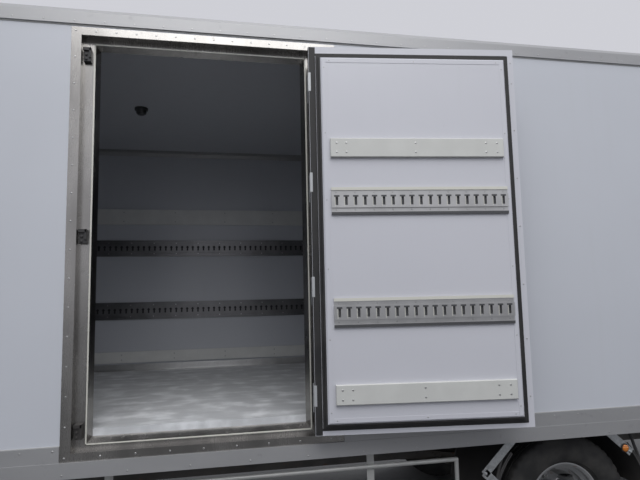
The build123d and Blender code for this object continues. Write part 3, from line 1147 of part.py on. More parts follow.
def cab_shell():
    """Hollow cab with its floor, open below in front of and over the wheels."""
    outer, inner = cab_form(0, CAB_FOOT), cab_form(CAB_SKIN, 0)
    shell = outer - (inner & block(ALONG, ACROSS, (CAB_FLOOR_TOP, HIGH)))
    shell = shell - (inner & block(ALONG, ACROSS, (0, CAB_FLOOR)))
    arch = shaft_y(ARCH_RADIUS, 0, TYRE_RADIUS, ACROSS)
    behind = block((0, CAB_BACK + OVER), ACROSS, (0, CAB_FLOOR))
    return shell - arch - behind


def cab_front(front):
    """Front panel with the grille's opening and the two lugs that the cab tilts on."""
    x, z = TILT_PIVOT
    wall = CAB_FRONT + CAB_SKIN - 2
    lug = prism_xz([(wall, z - 90), (x, z - 26), (x + 26, z), (x, z + 26), (wall, z + 90)],
                   (RAIL_SIDE - TILT_CHEEKS[0] + 14, RAIL_SIDE - 14))
    lug = lug - shaft_y(TILT_PIN_RADIUS, x, z, (0, RAIL_SIDE))
    panel = front - block((ALONG[0], CAB_FRONT + FRONT_DEPTH), *GRILLE)
    keep("cab_front", join([panel] + both_sides(lug)))


def cab_sides(sides):
    """Side panels with the doorways, the doors' hinge pins and the entry steps."""
    sides = sides - prism_xz(door_outline(0, 0), ACROSS)
    pin_x, pin_y = DOOR_PIN
    parts = [sides]
    for z in DOOR_HINGES:
        lug = block((DOOR_FRONT - 12, pin_x), (pin_y - DOOR_PIN_IN, pin_y + DOOR_PIN_IN), (z - 10, z + 10))
        parts += both_sides(lug + shaft_z(DOOR_HINGE_PIN, pin_x, pin_y, (z - 28, z + 28)))
    (x0, x1), (z0, z1) = STEP_WELL
    steel = STEP_STEEL
    well = block((x0 - steel, x1 + steel), (CAB_SIDE - STEP_DEPTH, CAB_SIDE - 1), (z0 - steel, z1 + steel))
    way_in = block((x0, x1), (CAB_SIDE - STEP_DEPTH + steel, CAB_SIDE + OVER), (z0, z1))
    whole = join(parts + both_sides(well))
    keep("cab_sides", whole - way_in - other_side(way_in))


def cab_doors(shell, glass):
    """Doors with their hinge pockets, and the panes in their windows."""
    pin_x, pin_y = DOOR_PIN
    doors = shell & prism_xz(door_outline(DOOR_GAP, DOOR_SLANT_LEAD), ACROSS)
    doors = doors - prism_xz(window_outline(0), ACROSS)
    for z in DOOR_HINGES:
        pocket = block((DOOR_FRONT - 5, pin_x + 12), (pin_y - 14, CAB_SIDE + OVER), (z - 15, z + 15))
        pocket = pocket + shaft_z(DOOR_HINGE_PIN + RUNNING_FIT, pin_x, pin_y, (z - 30, z + 30))
        doors = doors - pocket - other_side(pocket)
    panes = glass & prism_xz(window_outline(SEAT_GAP), ACROSS)
    for name, side in (("left", LEFT), ("right", RIGHT)):
        half = block(ALONG, sorted((side * CAB_SIDE / 2, side * CAB_WIDTH)), (0, HIGH))
        keep("cab_door_" + name, doors & half)
        keep("door_glass_" + name, panes & half)


def cab():
    """Cab parted where its panels meet, with its glass, grille, inside and mirrors."""
    shell = cab_shell()
    back_x = CAB_BACK - CAB_SKIN
    inside = (-CAB_SIDE + CAB_SKIN, CAB_SIDE - CAB_SKIN)
    floor = block((CAB_FRONT + CAB_SKIN, back_x), inside, (CAB_FLOOR, CAB_FLOOR_TOP))
    back = block((back_x, ALONG[1]), ACROSS, (0, HIGH))
    low_front = block((ALONG[0], CAB_FRONT + FRONT_DEPTH), ACROSS, (0, BELT))
    top = block(ALONG, ACROSS, (PILLAR_TOP, HIGH))
    screen_way = block((ALONG[0], SCREEN_BACK), (-SCREEN_HALF, SCREEN_HALF), (0, HIGH))
    rest = shell - floor - back
    keep("cab_floor_and_back", (shell & floor) + (shell & back))
    keep("cab_roof", rest & top)
    cab_front(rest & low_front)
    cab_sides(rest - low_front - top - screen_way)
    glass = cab_form(GLASS_IN, CAB_FOOT) - cab_form(GLASS_IN + GLASS, CAB_FOOT - 10)
    opening = block((ALONG[0], SCREEN_BACK), (-SCREEN_HALF + SEAT_GAP, SCREEN_HALF - SEAT_GAP),
                    (BELT + SEAT_GAP, PILLAR_TOP - SEAT_GAP))
    keep("windscreen", glass & opening)
    cab_doors(shell, glass)
    grille()
    cab_inside()
    mirrors()


def grille():
    """Slatted grille in the front panel's opening."""
    (y0, y1), (z0, z1) = GRILLE
    x = (CAB_FRONT + 4, CAB_FRONT + 34)
    edge_y, edge_z = 25, 22
    frame = block(x, (y0 + SEAT_GAP, y1 - SEAT_GAP), (z0 + SEAT_GAP, z1 - SEAT_GAP))
    frame = frame - block((x[0] - OVER, x[1] + OVER), (y0 + edge_y, y1 - edge_y), (z0 + edge_z, z1 - edge_z))
    pitch = (z1 - z0 - 2 * edge_z) / (GRILLE_SLATS + 1)
    for step in range(GRILLE_SLATS):
        level = z0 + edge_z + pitch * (step + 1)
        slat = [(x[0], level - 7), (x[0] + 4, level - 9), (x[1] - 2, level + 3), (x[1] - 2, level + 9),
                (x[0], level + 3)]
        frame = frame + prism_xz(slat, (y0 + edge_y - 5, y1 - edge_y + 5))
    keep("grille", frame)


def cab_inside():
    """Two seats, the dashboard and the steering wheel."""
    floor = CAB_FLOOR_TOP
    top, back_top = floor + SEAT_TOP, floor + SEAT_BACK_TOP
    outline = [(-330, floor), (-330, top - 140), (-370, top - 90), (-350, top), (80, top - 20),
               (190, back_top), (300, back_top), (240, top - 60), (200, floor)]
    seats = []
    for y in SEATS:
        seat = prism_xz(outline, y)
        soft = [edge for edge in seat.edges().filter_by(GeomType.LINE)
                if edge.center().Z > top - 80 and edge.length < 900]
        seats.append(fillet(soft, 25))
    keep("seats", seats)
    side = CAB_SIDE - CAB_SKIN - SEAT_GAP
    front = CAB_FRONT + CAB_SKIN + 40
    crest = BELT + 20
    dash = prism_xz([(front, crest - 310), (front, crest - 40), (-960, crest), (-850, crest - 40),
                     (-820, crest - 160), (-900, crest - 310), (-1000, floor), (front, floor)],
                    (-side + 70, side - 70))
    wheel = Pos(*WHEEL_AT) * Rot(0, -WHEEL_TILT, 0)
    parts = [dash, wheel * Torus(WHEEL_RADIUS, 14), wheel * Pos(0, 0, -14) * Cylinder(45, 40)]
    spoke = Pos(WHEEL_RADIUS / 2 + 8, 0, -12) * Box(190, 34, 10)
    parts += [wheel * Rot(0, 0, turn * 120) * spoke for turn in range(3)]
    x, y, z = WHEEL_AT
    parts.append(bar((x - 15, y, z - 25), (x - 228, y, z - 158), 28))
    keep("dashboard", join(parts))


def mirrors():
    """Mirror head on two arms at each front corner of the cab."""
    root_x, side = DOOR_FRONT - 50, CAB_SIDE
    arm_x, arm_y = root_x - 100, side + 180
    head = block((arm_x - 40, arm_x + 35), (arm_y - 90, arm_y + 90), (BELT + 220, BELT + 590))
    head = fillet(head.edges(), 18)
    parts = [head]
    for z, level in ((BELT + 50, BELT + 280), (BELT + 710, BELT + 530)):
        parts.append(bar((root_x, side - 4, z), (arm_x, arm_y, z), 11))
        parts.append(bar((arm_x, arm_y, z), (arm_x, arm_y, level), 11))
        parts.append(Pos(arm_x, arm_y, z) * Sphere(11))
        parts.append(block((root_x - 26, root_x + 26), (side, side + 8), (z - 22, z + 22)))
    keep("mirrors", both_sides(join(parts) - block(ALONG, (0, side), (0, HIGH))))


def export_parts():
    """Write each node to its own file."""
    os.makedirs("parts", exist_ok=True)
    for name, shape in nodes.items():
        export_step(shape, f"parts/{name}.step")


def build():
    """Make every node of the truck."""
    for step in (wheels, front_axle, knuckles, tie_rod, rear_axle, chassis_frame, cross_members, engine,
                 driveline, equipment, front_bumper, rear_bumper, lamps, subframe, box_panels, edge_rails,
                 side_door_frame, rear_frame, rear_doors, side_leaf, leaf_lining, lining, cooling, cab):
        step()


if __name__ == "__main__":
    build()
    export_parts()
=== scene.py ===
"""The looks of a box truck with an insulated body, its plug side door folded open.

Every length is in metres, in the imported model's frame: +X runs to the rear of the
truck, -Y is its left (kerb) side, +Z is up and the origin is on the ground below
the front axle.
"""

import json
import logging
import math
from dataclasses import dataclass
from enum import Enum
from typing import Any, Iterable, Sequence, Union

import bmesh
import bpy
from mathutils import Matrix, Vector


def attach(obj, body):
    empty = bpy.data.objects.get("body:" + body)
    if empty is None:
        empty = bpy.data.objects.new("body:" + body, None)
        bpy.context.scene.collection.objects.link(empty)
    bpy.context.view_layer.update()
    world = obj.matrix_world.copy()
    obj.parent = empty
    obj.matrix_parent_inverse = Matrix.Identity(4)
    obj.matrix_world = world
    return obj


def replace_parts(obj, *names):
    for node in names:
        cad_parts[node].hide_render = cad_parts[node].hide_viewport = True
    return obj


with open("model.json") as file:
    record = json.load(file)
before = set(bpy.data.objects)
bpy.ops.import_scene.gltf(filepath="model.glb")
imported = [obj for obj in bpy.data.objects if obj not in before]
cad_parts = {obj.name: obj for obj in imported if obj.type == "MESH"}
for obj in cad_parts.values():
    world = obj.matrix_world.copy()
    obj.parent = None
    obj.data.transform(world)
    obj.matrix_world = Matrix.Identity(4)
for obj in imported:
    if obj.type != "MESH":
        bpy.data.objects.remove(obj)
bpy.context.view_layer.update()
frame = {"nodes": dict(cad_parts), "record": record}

log = logging.getLogger("box_truck")

Colour = tuple[float, float, float]
Point = Union[Vector, Sequence[float]]
Head = tuple[float, float, int]


class Side(Enum):
    """A side of the truck, as the sign of its Y."""

    LEFT = -1
    RIGHT = 1

    @property
    def word(self) -> str:
        """The side's name as the nodes spell it."""
        return self.name.lower()

    @property
    def out(self) -> tuple[int, int, int]:
        """The way out of the truck on this side."""
        return (0, self.value, 0)

    def span(self, near: float, far: float) -> list[float]:
        """Two distances from the truck's middle line as a rising pair of Y."""
        return sorted((self.value * near, self.value * far))


class Axis(Enum):
    """A direction that a round or flat piece faces."""

    X = (1.0, 0.0, 0.0)
    Y = (0.0, 1.0, 0.0)
    Z = (0.0, 0.0, 1.0)

    @property
    def vector(self) -> Vector:
        """The axis as a vector."""
        return Vector(self.value)


# Shader maths

class Signal:
    """A number that varies over a surface, so that shader maths reads as an expression."""

    def __init__(self, dresser: "Dresser", socket: bpy.types.NodeSocket) -> None:
        """Wrap a socket.

        Args:
            dresser: the material's builder, which adds the nodes.
            socket: the output socket that carries the number.
        """
        self.dresser = dresser
        self.socket = socket

    def _maths(self, operation: str, *values: "Number") -> "Signal":
        """Add a Math node.

        Args:
            operation: the node's operation.
            values: its inputs in order.

        Returns:
            The node's result.
        """
        node = self.dresser.node("ShaderNodeMath", {"operation": operation}, dict(enumerate(values)))
        return Signal(self.dresser, node.outputs[0])

    def __add__(self, other: "Number") -> "Signal":
        """self + other."""
        return self._maths("ADD", self, other)

    def __radd__(self, other: "Number") -> "Signal":
        """other + self."""
        return self._maths("ADD", other, self)

    def __sub__(self, other: "Number") -> "Signal":
        """self - other."""
        return self._maths("SUBTRACT", self, other)

    def __rsub__(self, other: "Number") -> "Signal":
        """other - self."""
        return self._maths("SUBTRACT", other, self)

    def __mul__(self, other: "Number") -> "Signal":
        """self * other."""
        return self._maths("MULTIPLY", self, other)

    def __rmul__(self, other: "Number") -> "Signal":
        """other * self."""
        return self._maths("MULTIPLY", other, self)

    def __pow__(self, other: "Number") -> "Signal":
        """self to the power other."""
        return self._maths("POWER", self, other)

    def __gt__(self, other: "Number") -> "Signal":
        """One where self is greater, and nought elsewhere."""
        return self._maths("GREATER_THAN", self, other)

    def __lt__(self, other: "Number") -> "Signal":
        """One where self is less, and nought elsewhere."""
        return self._maths("LESS_THAN", self, other)

    def ramp(self, low: float, high: float) -> "Signal":
        """Rise smoothly from nought at low to one at high; low may be the greater.

        Args:
            low: the value that gives nought.
            high: the value that gives one.

        Returns:
            The eased number.
        """
        node = self.dresser.node("ShaderNodeMapRange", {"interpolation_type": "SMOOTHSTEP"},
                                 {"Value": self, "From Min": low, "From Max": high})
        return Signal(self.dresser, node.outputs[0])


Number = Union[float, Signal]
Plug = Union[float, Sequence[float], Signal, bpy.types.NodeSocket]


class Dresser:
    """Builds one material from nodes."""

    def __init__(self, name: str) -> None:
        """Start a material with a bare shader.

        Args:
            name: the material's name.
        """
        self.material = bpy.data.materials.new(name)
        self.material.use_nodes = True
        self.tree = self.material.node_tree
        self.tree.nodes.clear()
        self.shader = self.node("ShaderNodeBsdfPrincipled")
        self.node("ShaderNodeOutputMaterial", inputs={"Surface": self.shader.outputs[0]})
        self.points = self.node("ShaderNodeTexCoord").outputs["Object"]

    def node(self, kind: str, settings: dict[str, Any] | None = None,
             inputs: dict[Union[int, str], Plug] | None = None) -> bpy.types.Node:
        """Add a node.

        Args:
            kind: the node's type.
            settings: its properties, which are set before its sockets.
            inputs: values or links by socket name or number.

        Returns:
            The new node.
        """
        node = self.tree.nodes.new(kind)
        for key, value in (settings or {}).items():
            setattr(node, key, value)
        for key, value in (inputs or {}).items():
            self.feed(node.inputs[key], value)
        return node

    def feed(self, socket: bpy.types.NodeSocket, value: Plug) -> None:
        """Link or set one input socket.

        Args:
            socket: the input.
            value: a number, colour, vector, signal or output socket.
        """
        if isinstance(value, Signal):
            value = value.socket
        if isinstance(value, bpy.types.NodeSocket):
            self.tree.links.new(value, socket)
        elif socket.type == "RGBA":
            socket.default_value = (*value, 1.0)
        else:
            socket.default_value = value

    def noise(self, scale: float, detail: float = 3.0, stretch: Point = (1.0, 1.0, 1.0)) -> Signal:
        """Soft random variation between nought and one.

        Args:
            scale: features per metre, roughly.
            detail: octaves.
            stretch: how much each axis is squeezed.

        Returns:
            The variation.
        """
        mapped = self.node("ShaderNodeMapping", inputs={"Vector": self.points, "Scale": tuple(stretch)})
        node = self.node("ShaderNodeTexNoise",
                         inputs={"Vector": mapped.outputs[0], "Scale": scale, "Detail": detail})
        return Signal(self, node.outputs[0])

    def bands(self, axis: Axis, count: float, distortion: float = 0.0) -> Signal:
        """Soft ribs or threads that follow each other along an axis.

        Args:
            axis: the way that they are counted.
            count: about twice the number in a metre.
            distortion: how much they wander.

        Returns:
            Their height, from nought to one.
        """
        wave = self.node("ShaderNodeTexWave", {"bands_direction": axis.name},
                         {"Vector": self.points, "Scale": count / 6.28, "Distortion": distortion})
        return Signal(self, wave.outputs[1])

    def along(self, axis: Axis) -> Signal:
        """The surface point's own coordinate along an axis, in metres."""
        split = self.node("ShaderNodeSeparateXYZ", inputs={0: self.points})
        return Signal(self, split.outputs[axis.name])

    def blend(self, mask: Number, first: Plug, second: Plug) -> bpy.types.NodeSocket:
        """Mix two colours.

        Args:
            mask: nought shows the first colour, one the second.
            first: the colour under the mask.
            second: the colour that the mask lets through.

        Returns:
            The mixed colour's socket.
        """
        factor, low, high, result = 0, 6, 7, 2
        node = self.node("ShaderNodeMix", {"data_type": "RGBA"}, {factor: mask, low: first, high: second})
        return node.outputs[result]

    def relief(self, height: Signal, depth: float, strength: float = 1.0) -> None:
        """Give the surface a fine relief.

        Args:
            height: the relief, from nought to one.
            depth: what one stands for, in metres.
            strength: how strongly it shows.
        """
        bump = self.node("ShaderNodeBump", inputs={"Height": height, "Distance": depth, "Strength": strength})
        self.feed(self.shader.inputs["Normal"], bump.outputs[0])

    def surface(self, **sockets: Plug) -> None:
        """Set the shader's sockets; an underscore in a name stands for a space."""
        for name, value in sockets.items():
            self.feed(self.shader.inputs[name.replace("_", " ")], value)


def shaded(colour: Colour, factor: float) -> Colour:
    """A colour made lighter or darker by a factor."""
    return tuple(min(1.0, part * factor) for part in colour)


# Finishes

DUST: Colour = (0.30, 0.27, 0.23)
RUST: Colour = (0.20, 0.085, 0.035)


@dataclass(frozen=True)
class Finish:
    """Paint or moulded plastic whose colour drifts a little, with fine relief and road dust."""

    name: str
    colour: Colour
    roughness: float
    metallic: float = 0.0
    coat: float = 0.0
    drift: float = 0.04
    drift_scale: float = 2.5
    grain: float = 0.0
    grain_scale: float = 400.0
    dust: float = 0.0
    dust_top: float = 1.0

    def make(self) -> bpy.types.Material:
        """Build the material.

        Returns:
            The material, dressed.
        """
        dresser = Dresser(self.name)
        self.dress(dresser)
        return dresser.material

    def dress(self, dresser: Dresser) -> None:
        """Lay the finish on a bare material.

        Args:
            dresser: the material's builder.
        """
        cloud = dresser.noise(self.drift_scale, 4.0)
        colour = self.varied(dresser, cloud.ramp(0.3, 0.7), 1 - self.drift, 1 + self.drift)
        rough = self.roughness + 0.08 * (dresser.noise(self.drift_scale * 6, 3.0) - 0.5)
        colour, rough = self.dusted(dresser, colour, rough, 0.85 - self.roughness)
        dresser.surface(Base_Color=colour, Roughness=rough, Metallic=self.metallic, Coat_Weight=self.coat)
        if self.grain:
            dresser.relief(dresser.noise(self.grain_scale, 2.0), self.grain)

    def varied(self, dresser: Dresser, mask: Number, low: float, high: float) -> bpy.types.NodeSocket:
        """The finish's colour, made darker or lighter by low off a mask and by high on it."""
        return dresser.blend(mask, shaded(self.colour, low), shaded(self.colour, high))

    def dust_mask(self, dresser: Dresser) -> Signal:
        """Where road dust lies.

        Args:
            dresser: the material's builder.

        Returns:
            Nought on clean surface and dust on the dirtiest.
        """
        low = dresser.along(Axis.Z).ramp(self.dust_top, 0.15)
        patches = dresser.noise(5.0, 6.0).ramp(0.28, 0.72)
        return self.dust * (low * (0.45 + 0.55 * patches))

    def dusted(self, dresser: Dresser, colour: Plug, rough: Number, dulled: float) -> tuple[Plug, Number]:
        """Lay road dust over a colour and its roughness, if the finish has any.

        Args:
            dresser: the material's builder.
            colour: the clean colour.
            rough: the clean roughness.
            dulled: how much rougher full dust is.

        Returns:
            The colour and the roughness under the dust.
        """
        if not self.dust:
            return colour, rough
        mask = self.dust_mask(dresser)
        return dresser.blend(mask, colour, DUST), rough + dulled * mask


@dataclass(frozen=True)
class Laminate(Finish):
    """White glass-fibre skin: almost smooth, with long faint waves and old rain marks."""

    streaks: float = 0.05
    rain_mark: Colour = (0.46, 0.46, 0.44)
    speck: Colour = (0.30, 0.29, 0.27)

    def dress(self, dresser: Dresser) -> None:
        """Lay the skin on a bare material.

        Args:
            dresser: the material's builder.
        """
        clouds = dresser.noise(0.9, 3.0).ramp(0.3, 0.7)
        rain = dresser.noise(5.0, 4.0, (3.0, 3.0, 0.22)).ramp(0.52, 0.78)
        specks = dresser.noise(90.0, 2.0).ramp(0.66, 0.74)
        colour = self.varied(dresser, clouds, 1 - self.drift, 1 + self.drift)
        colour = dresser.blend(self.streaks * rain, colour, self.rain_mark)
        colour = dresser.blend(0.05 * specks, colour, self.speck)
        rough = self.roughness + 0.10 * (clouds - 0.5) + 0.10 * rain
        dresser.surface(Base_Color=colour, Roughness=rough, Coat_Weight=self.coat, Coat_Roughness=0.12)
        dresser.relief(dresser.noise(7.0, 2.0), 0.0016, 0.35)


@dataclass(frozen=True)
class BrushedMetal(Finish):
    """Rolled or brushed sheet whose fine lines run along one axis."""

    line: Axis = Axis.Z
    scratches: float = 0.12

    def dress(self, dresser: Dresser) -> None:
        """Lay the brushed metal on a bare material.

        Args:
            dresser: the material's builder.
        """
        lines = dresser.noise(900.0, 2.0, self._drawn(0.02))
        smears = dresser.noise(6.0, 4.0, self._drawn(0.35))
        stains = dresser.noise(24.0, 5.0).ramp(0.60, 0.78)
        colour = self.varied(dresser, smears.ramp(0.3, 0.7), 1 - self.drift, 1 + self.drift)
        colour = dresser.blend(0.25 * stains, colour, shaded(self.colour, 0.55))
        rough = self.roughness + self.scratches * (lines - 0.5) + 0.18 * (smears - 0.45) + 0.10 * stains
        colour, rough = self.dusted(dresser, colour, rough, 0.4)
        dresser.surface(Base_Color=colour, Roughness=rough, Metallic=self.metallic)
        dresser.relief(lines, 0.00006, 0.5)

    def _drawn(self, squeeze: float) -> list[float]:
        """A stretch that draws noise out along the brushing."""
        return [squeeze if axis is self.line else 1.0 for axis in Axis]


@dataclass(frozen=True)
class Zinc(Finish):
    """Galvanised steel with its patchwork of crystals."""

    crystals: float = 90.0
    bloom: Colour = (0.62, 0.63, 0.62)

    def dress(self, dresser: Dresser) -> None:
        """Lay the zinc on a bare material.

        Args:
            dresser: the material's builder.
        """
        cells = dresser.node("ShaderNodeTexVoronoi",
                             inputs={"Vector": dresser.points, "Scale": self.crystals})
        parts = dresser.node("ShaderNodeSeparateColor", inputs={0: cells.outputs["Color"]})
        tone = Signal(dresser, parts.outputs[0])
        bloom = dresser.noise(14.0, 5.0).ramp(0.52, 0.76)
        colour = dresser.blend(0.35 * bloom, self.varied(dresser, tone, 0.86, 1.08), self.bloom)
        rough = self.roughness + 0.14 * (tone - 0.5) + 0.25 * bloom
        colour, rough = self.dusted(dresser, colour, rough, 0.3)
        dresser.surface(Base_Color=colour, Roughness=rough, Metallic=self.metallic)
        dresser.relief(dresser.noise(160.0, 3.0), 0.0002, 0.5)


@dataclass(frozen=True)
class Worn(Finish):
    """Dark chassis paint with rust that comes through in spots, under road dirt."""

    rust: float = 0.25

    def dress(self, dresser: Dresser) -> None:
        """Lay the worn paint on a bare material.

        Args:
            dresser: the material's builder.
        """
        spots = dresser.noise(22.0, 7.0).ramp(0.60, 0.72)
        cloud = dresser.noise(self.drift_scale, 5.0).ramp(0.3, 0.7)
        colour = dresser.blend(self.rust * spots, self.varied(dresser, cloud, 0.75, 1.35), RUST)
        colour, rough = self.dusted(dresser, colour, self.roughness + 0.25 * spots, 0.35)
        dresser.surface(Base_Color=colour, Roughness=rough, Metallic=self.metallic)
        dresser.relief(spots + 0.3 * dresser.noise(220.0, 3.0), 0.0005, 0.6)


@dataclass(frozen=True)
class Rubber(Finish):
    """Tyre or seal rubber, greyed by dust in its hollows."""

    dusted_by: float = 0.35
    grey: Colour = (0.17, 0.16, 0.145)

    def dress(self, dresser: Dresser) -> None:
        """Lay the rubber on a bare material.

        Args:
            dresser: the material's builder.
        """
        patches = dresser.noise(9.0, 6.0).ramp(0.30, 0.75)
        colour = dresser.blend(self.dusted_by * patches, self.colour, self.grey)
        dresser.surface(Base_Color=colour, Roughness=self.roughness + 0.15 * patches)
        dresser.relief(dresser.noise(260.0, 3.0), 0.0004, 0.5)


@dataclass(frozen=True)
class Glass(Finish):
    """Clear tinted glass, thin enough to let most of the light through."""

    clearness: float = 0.9

    def dress(self, dresser: Dresser) -> None:
        """Lay the glass on a bare material.

        Args:
            dresser: the material's builder.
        """
        haze = dresser.noise(3.0, 5.0).ramp(0.45, 0.80)
        dresser.surface(Base_Color=self.colour, Roughness=self.roughness + 0.05 * haze, IOR=1.45,
                        Transmission_Weight=self.clearness)


@dataclass(frozen=True)
class Cloth(Finish):
    """Woven seat cloth: crossing threads with a soft sheen."""

    thread: float = 900.0
    fleck: Colour = (0.22, 0.26, 0.33)

    def dress(self, dresser: Dresser) -> None:
        """Lay the cloth on a bare material.

        Args:
            dresser: the material's builder.
        """
        weave = dresser.bands(Axis.Y, self.thread, 0.4) * dresser.bands(Axis.Z, self.thread, 0.4)
        flecks = dresser.noise(350.0, 2.0).ramp(0.45, 0.62)
        # The colour darkens in the weave's hollows, in step with the relief: painted shade.
        colour = dresser.blend(0.35 * flecks, self.varied(dresser, weave, 0.55, 1.0), self.fleck)
        dresser.surface(Base_Color=colour, Roughness=self.roughness, Sheen_Weight=0.35)
        dresser.relief(weave, 0.0006, 0.8)


@dataclass(frozen=True)
class Glow(Finish):
    """Coloured lens with ribs moulded behind its face."""

    ribs: float = 160.0
    line: Axis = Axis.Z

    def dress(self, dresser: Dresser) -> None:
        """Lay the ribbed lens on a bare material.

        Args:
            dresser: the material's builder.
        """
        rib = dresser.bands(self.line, self.ribs)
        # The colour darkens in the ribs' grooves and lightens on their crests, in step with the relief:
        # painted shade and painted highlight.
        dresser.surface(Base_Color=self.varied(dresser, rib, 0.55, 1.15), Roughness=self.roughness,
                        Coat_Weight=1.0, Coat_Roughness=0.05)
        dresser.relief(rib, 0.0012, 0.5)


@dataclass(frozen=True)
class FloorSheet(Finish):
    """Scuffed sheet on the load floor, with long drag marks."""

    def dress(self, dresser: Dresser) -> None:
        """Lay the scuffed sheet on a bare material.

        Args:
            dresser: the material's builder.
        """
        drags = dresser.noise(14.0, 6.0, (0.12, 1.0, 1.0)).ramp(0.45, 0.75)
        scuffs = dresser.noise(7.0, 7.0).ramp(0.40, 0.70)
        fine = dresser.noise(420.0, 2.0, (1.0, 0.05, 1.0))
        ground = self.varied(dresser, scuffs, 0.80, 1.12)
        colour = dresser.blend(0.45 * drags, ground, shaded(self.colour, 0.62))
        rough = self.roughness + 0.22 * (scuffs - 0.4) + 0.12 * (fine - 0.5) + 0.1 * drags
        dresser.surface(Base_Color=colour, Roughness=rough, Metallic=self.metallic)
        dresser.relief(fine + 0.6 * drags, 0.0003, 0.5)


@dataclass(frozen=True)
class GuardTubes(Finish):
    """Pale painted tube guards, and black flaps and stays round the rear wheels."""

    stays_from: float = 4.05
    black: Colour = (0.022, 0.022, 0.024)

    def dress(self, dresser: Dresser) -> None:
        """Lay the two paints on a bare material.

        Args:
            dresser: the material's builder.
        """
        bowed = dresser.along(Axis.X) > self.stays_from
        cloud = dresser.noise(6.0, 5.0).ramp(0.3, 0.75)
        colour = dresser.blend(bowed, self.varied(dresser, cloud, 0.86, 1.06), self.black)
        colour, rough = self.dusted(dresser, colour, self.roughness + 0.2 * bowed, 0.25)
        dresser.surface(Base_Color=colour, Roughness=rough, Metallic=self.metallic * (1 - bowed))
        dresser.relief(dresser.noise(140.0, 3.0), 0.0002, 0.4)


@dataclass(frozen=True)
class LiningStrips(Finish):
    """Zinc lashing rails and white rubbing boards of the load space, told apart by their height."""

    boards: tuple[tuple[float, float], ...] = ((1.085, 1.195), (2.365, 2.518))
    white: Colour = (0.70, 0.70, 0.68)

    def dress(self, dresser: Dresser) -> None:
        """Lay the zinc and the white paint on a bare material.

        Args:
            dresser: the material's builder.
        """
        height = dresser.along(Axis.Z)
        board: Number = 0.0
        for low, high in self.boards:
            board = board + (height > low) * (height < high)
        cloud = dresser.noise(7.0, 5.0).ramp(0.3, 0.75)
        paint = dresser.blend(cloud, shaded(self.white, 0.94), shaded(self.white, 1.03))
        dresser.surface(Base_Color=dresser.blend(board, self.varied(dresser, cloud, 0.82, 1.1), paint),
                        Metallic=self.metallic * (1 - board), Roughness=self.roughness + 0.12 * (cloud - 0.5))
        dresser.relief(dresser.noise(200.0, 3.0), 0.0002, 0.4)


SKIN_WHITE = Laminate("skin_white", (0.56, 0.575, 0.615), 0.36, coat=0.2, drift=0.02)
PLUG_WHITE = Laminate("plug_white", (0.59, 0.59, 0.63), 0.40, coat=0.12, drift=0.015, streaks=0.03)
CAB_WHITE = Finish("cab_white", (0.57, 0.59, 0.62), 0.26, coat=0.8, drift=0.012, dust=0.35, dust_top=1.0)
# Painted shade: this grey is darker than the rails' own white finish, to stand for less light falling on
# their faces.
RAIL_GREY = BrushedMetal("rail_grey", (0.38, 0.38, 0.385), 0.42, 0.45, drift=0.03, line=Axis.X, dust=0.3,
                         dust_top=1.05)
# Painted shade: the stainless steel's colour is darker than the metal's own, to stand for the dark
# surroundings that it reflects.
MIRROR_STEEL = BrushedMetal("mirror_steel", (0.36, 0.35, 0.335), 0.24, 1.0, drift=0.14, line=Axis.Z)
DULL_ZINC = Zinc("dull_zinc", (0.50, 0.52, 0.53), 0.42, 0.85, dust=0.3, dust_top=0.9)
BRIGHT_ZINC = Finish("bright_zinc", (0.52, 0.52, 0.515), 0.30, 0.95, drift=0.08, drift_scale=9.0)
FRAME_BLACK = Worn("frame_black", (0.022, 0.022, 0.024), 0.48, dust=0.55, dust_top=0.95, rust=0.35)
SPRING_BLACK = Worn("spring_black", (0.035, 0.030, 0.027), 0.62, dust=0.6, dust_top=0.9, rust=0.8)
RIM_GREY = Worn("rim_grey", (0.33, 0.34, 0.35), 0.42, 0.35, dust=0.45, dust_top=1.2, rust=0.35)
TYRE_BLACK = Rubber("tyre_black", (0.013, 0.013, 0.0135), 0.76, dusted_by=0.22)
SEAL_BLACK = Rubber("seal_black", (0.012, 0.012, 0.013), 0.55, dusted_by=0.12)
CLEAR_GLASS = Glass("clear_glass", (0.86, 0.93, 0.91), 0.03)
MOULDED_BLACK = Finish("moulded_black", (0.030, 0.030, 0.032), 0.55, grain=0.0004, grain_scale=700.0,
                       dust=0.3)
BUMPER_GREY = Finish("bumper_grey", (0.055, 0.056, 0.058), 0.60, grain=0.0004, grain_scale=600.0, dust=0.5)
LENS_CLEAR = Glow("lens_clear", (0.72, 0.75, 0.77), 0.10, ribs=140.0, line=Axis.Y)
LENS_RED = Glow("lens_red", (0.42, 0.012, 0.010), 0.18)
LENS_AMBER = Glow("lens_amber", (0.72, 0.22, 0.02), 0.18)
IRON = Worn("iron", (0.085, 0.085, 0.088), 0.6, 0.3, dust=0.5, dust_top=1.3, rust=0.5)
TANK_GREY = Worn("tank_grey", (0.075, 0.077, 0.080), 0.45, dust=0.5, rust=0.15)
FLOOR_METAL = FloorSheet("floor_metal", (0.76, 0.77, 0.78), 0.48, 0.12)
BOARD_WHITE = Finish("board_white", (0.60, 0.60, 0.57), 0.45, drift=0.03, drift_scale=8.0, grain=0.0002)
SEAT_CLOTH = Cloth("seat_cloth", (0.085, 0.095, 0.115), 0.85)
DASH_GREY = Finish("dash_grey", (0.060, 0.062, 0.066), 0.65, grain=0.0005, grain_scale=800.0)
PLANT_WHITE = Finish("plant_white", (0.56, 0.575, 0.59), 0.34, coat=0.4, drift=0.02, dust=0.1, dust_top=3.0)
SCREW_STEEL = BrushedMetal("screw_steel", (0.46, 0.46, 0.46), 0.34, 1.0)
# Grey of the sealing lines, which under the top rail also stand for the rail's painted shadow.
SEALANT_AND_SHADOW = Finish("sealant_and_shadow", (0.42, 0.42, 0.41), 0.6, grain=0.0003)
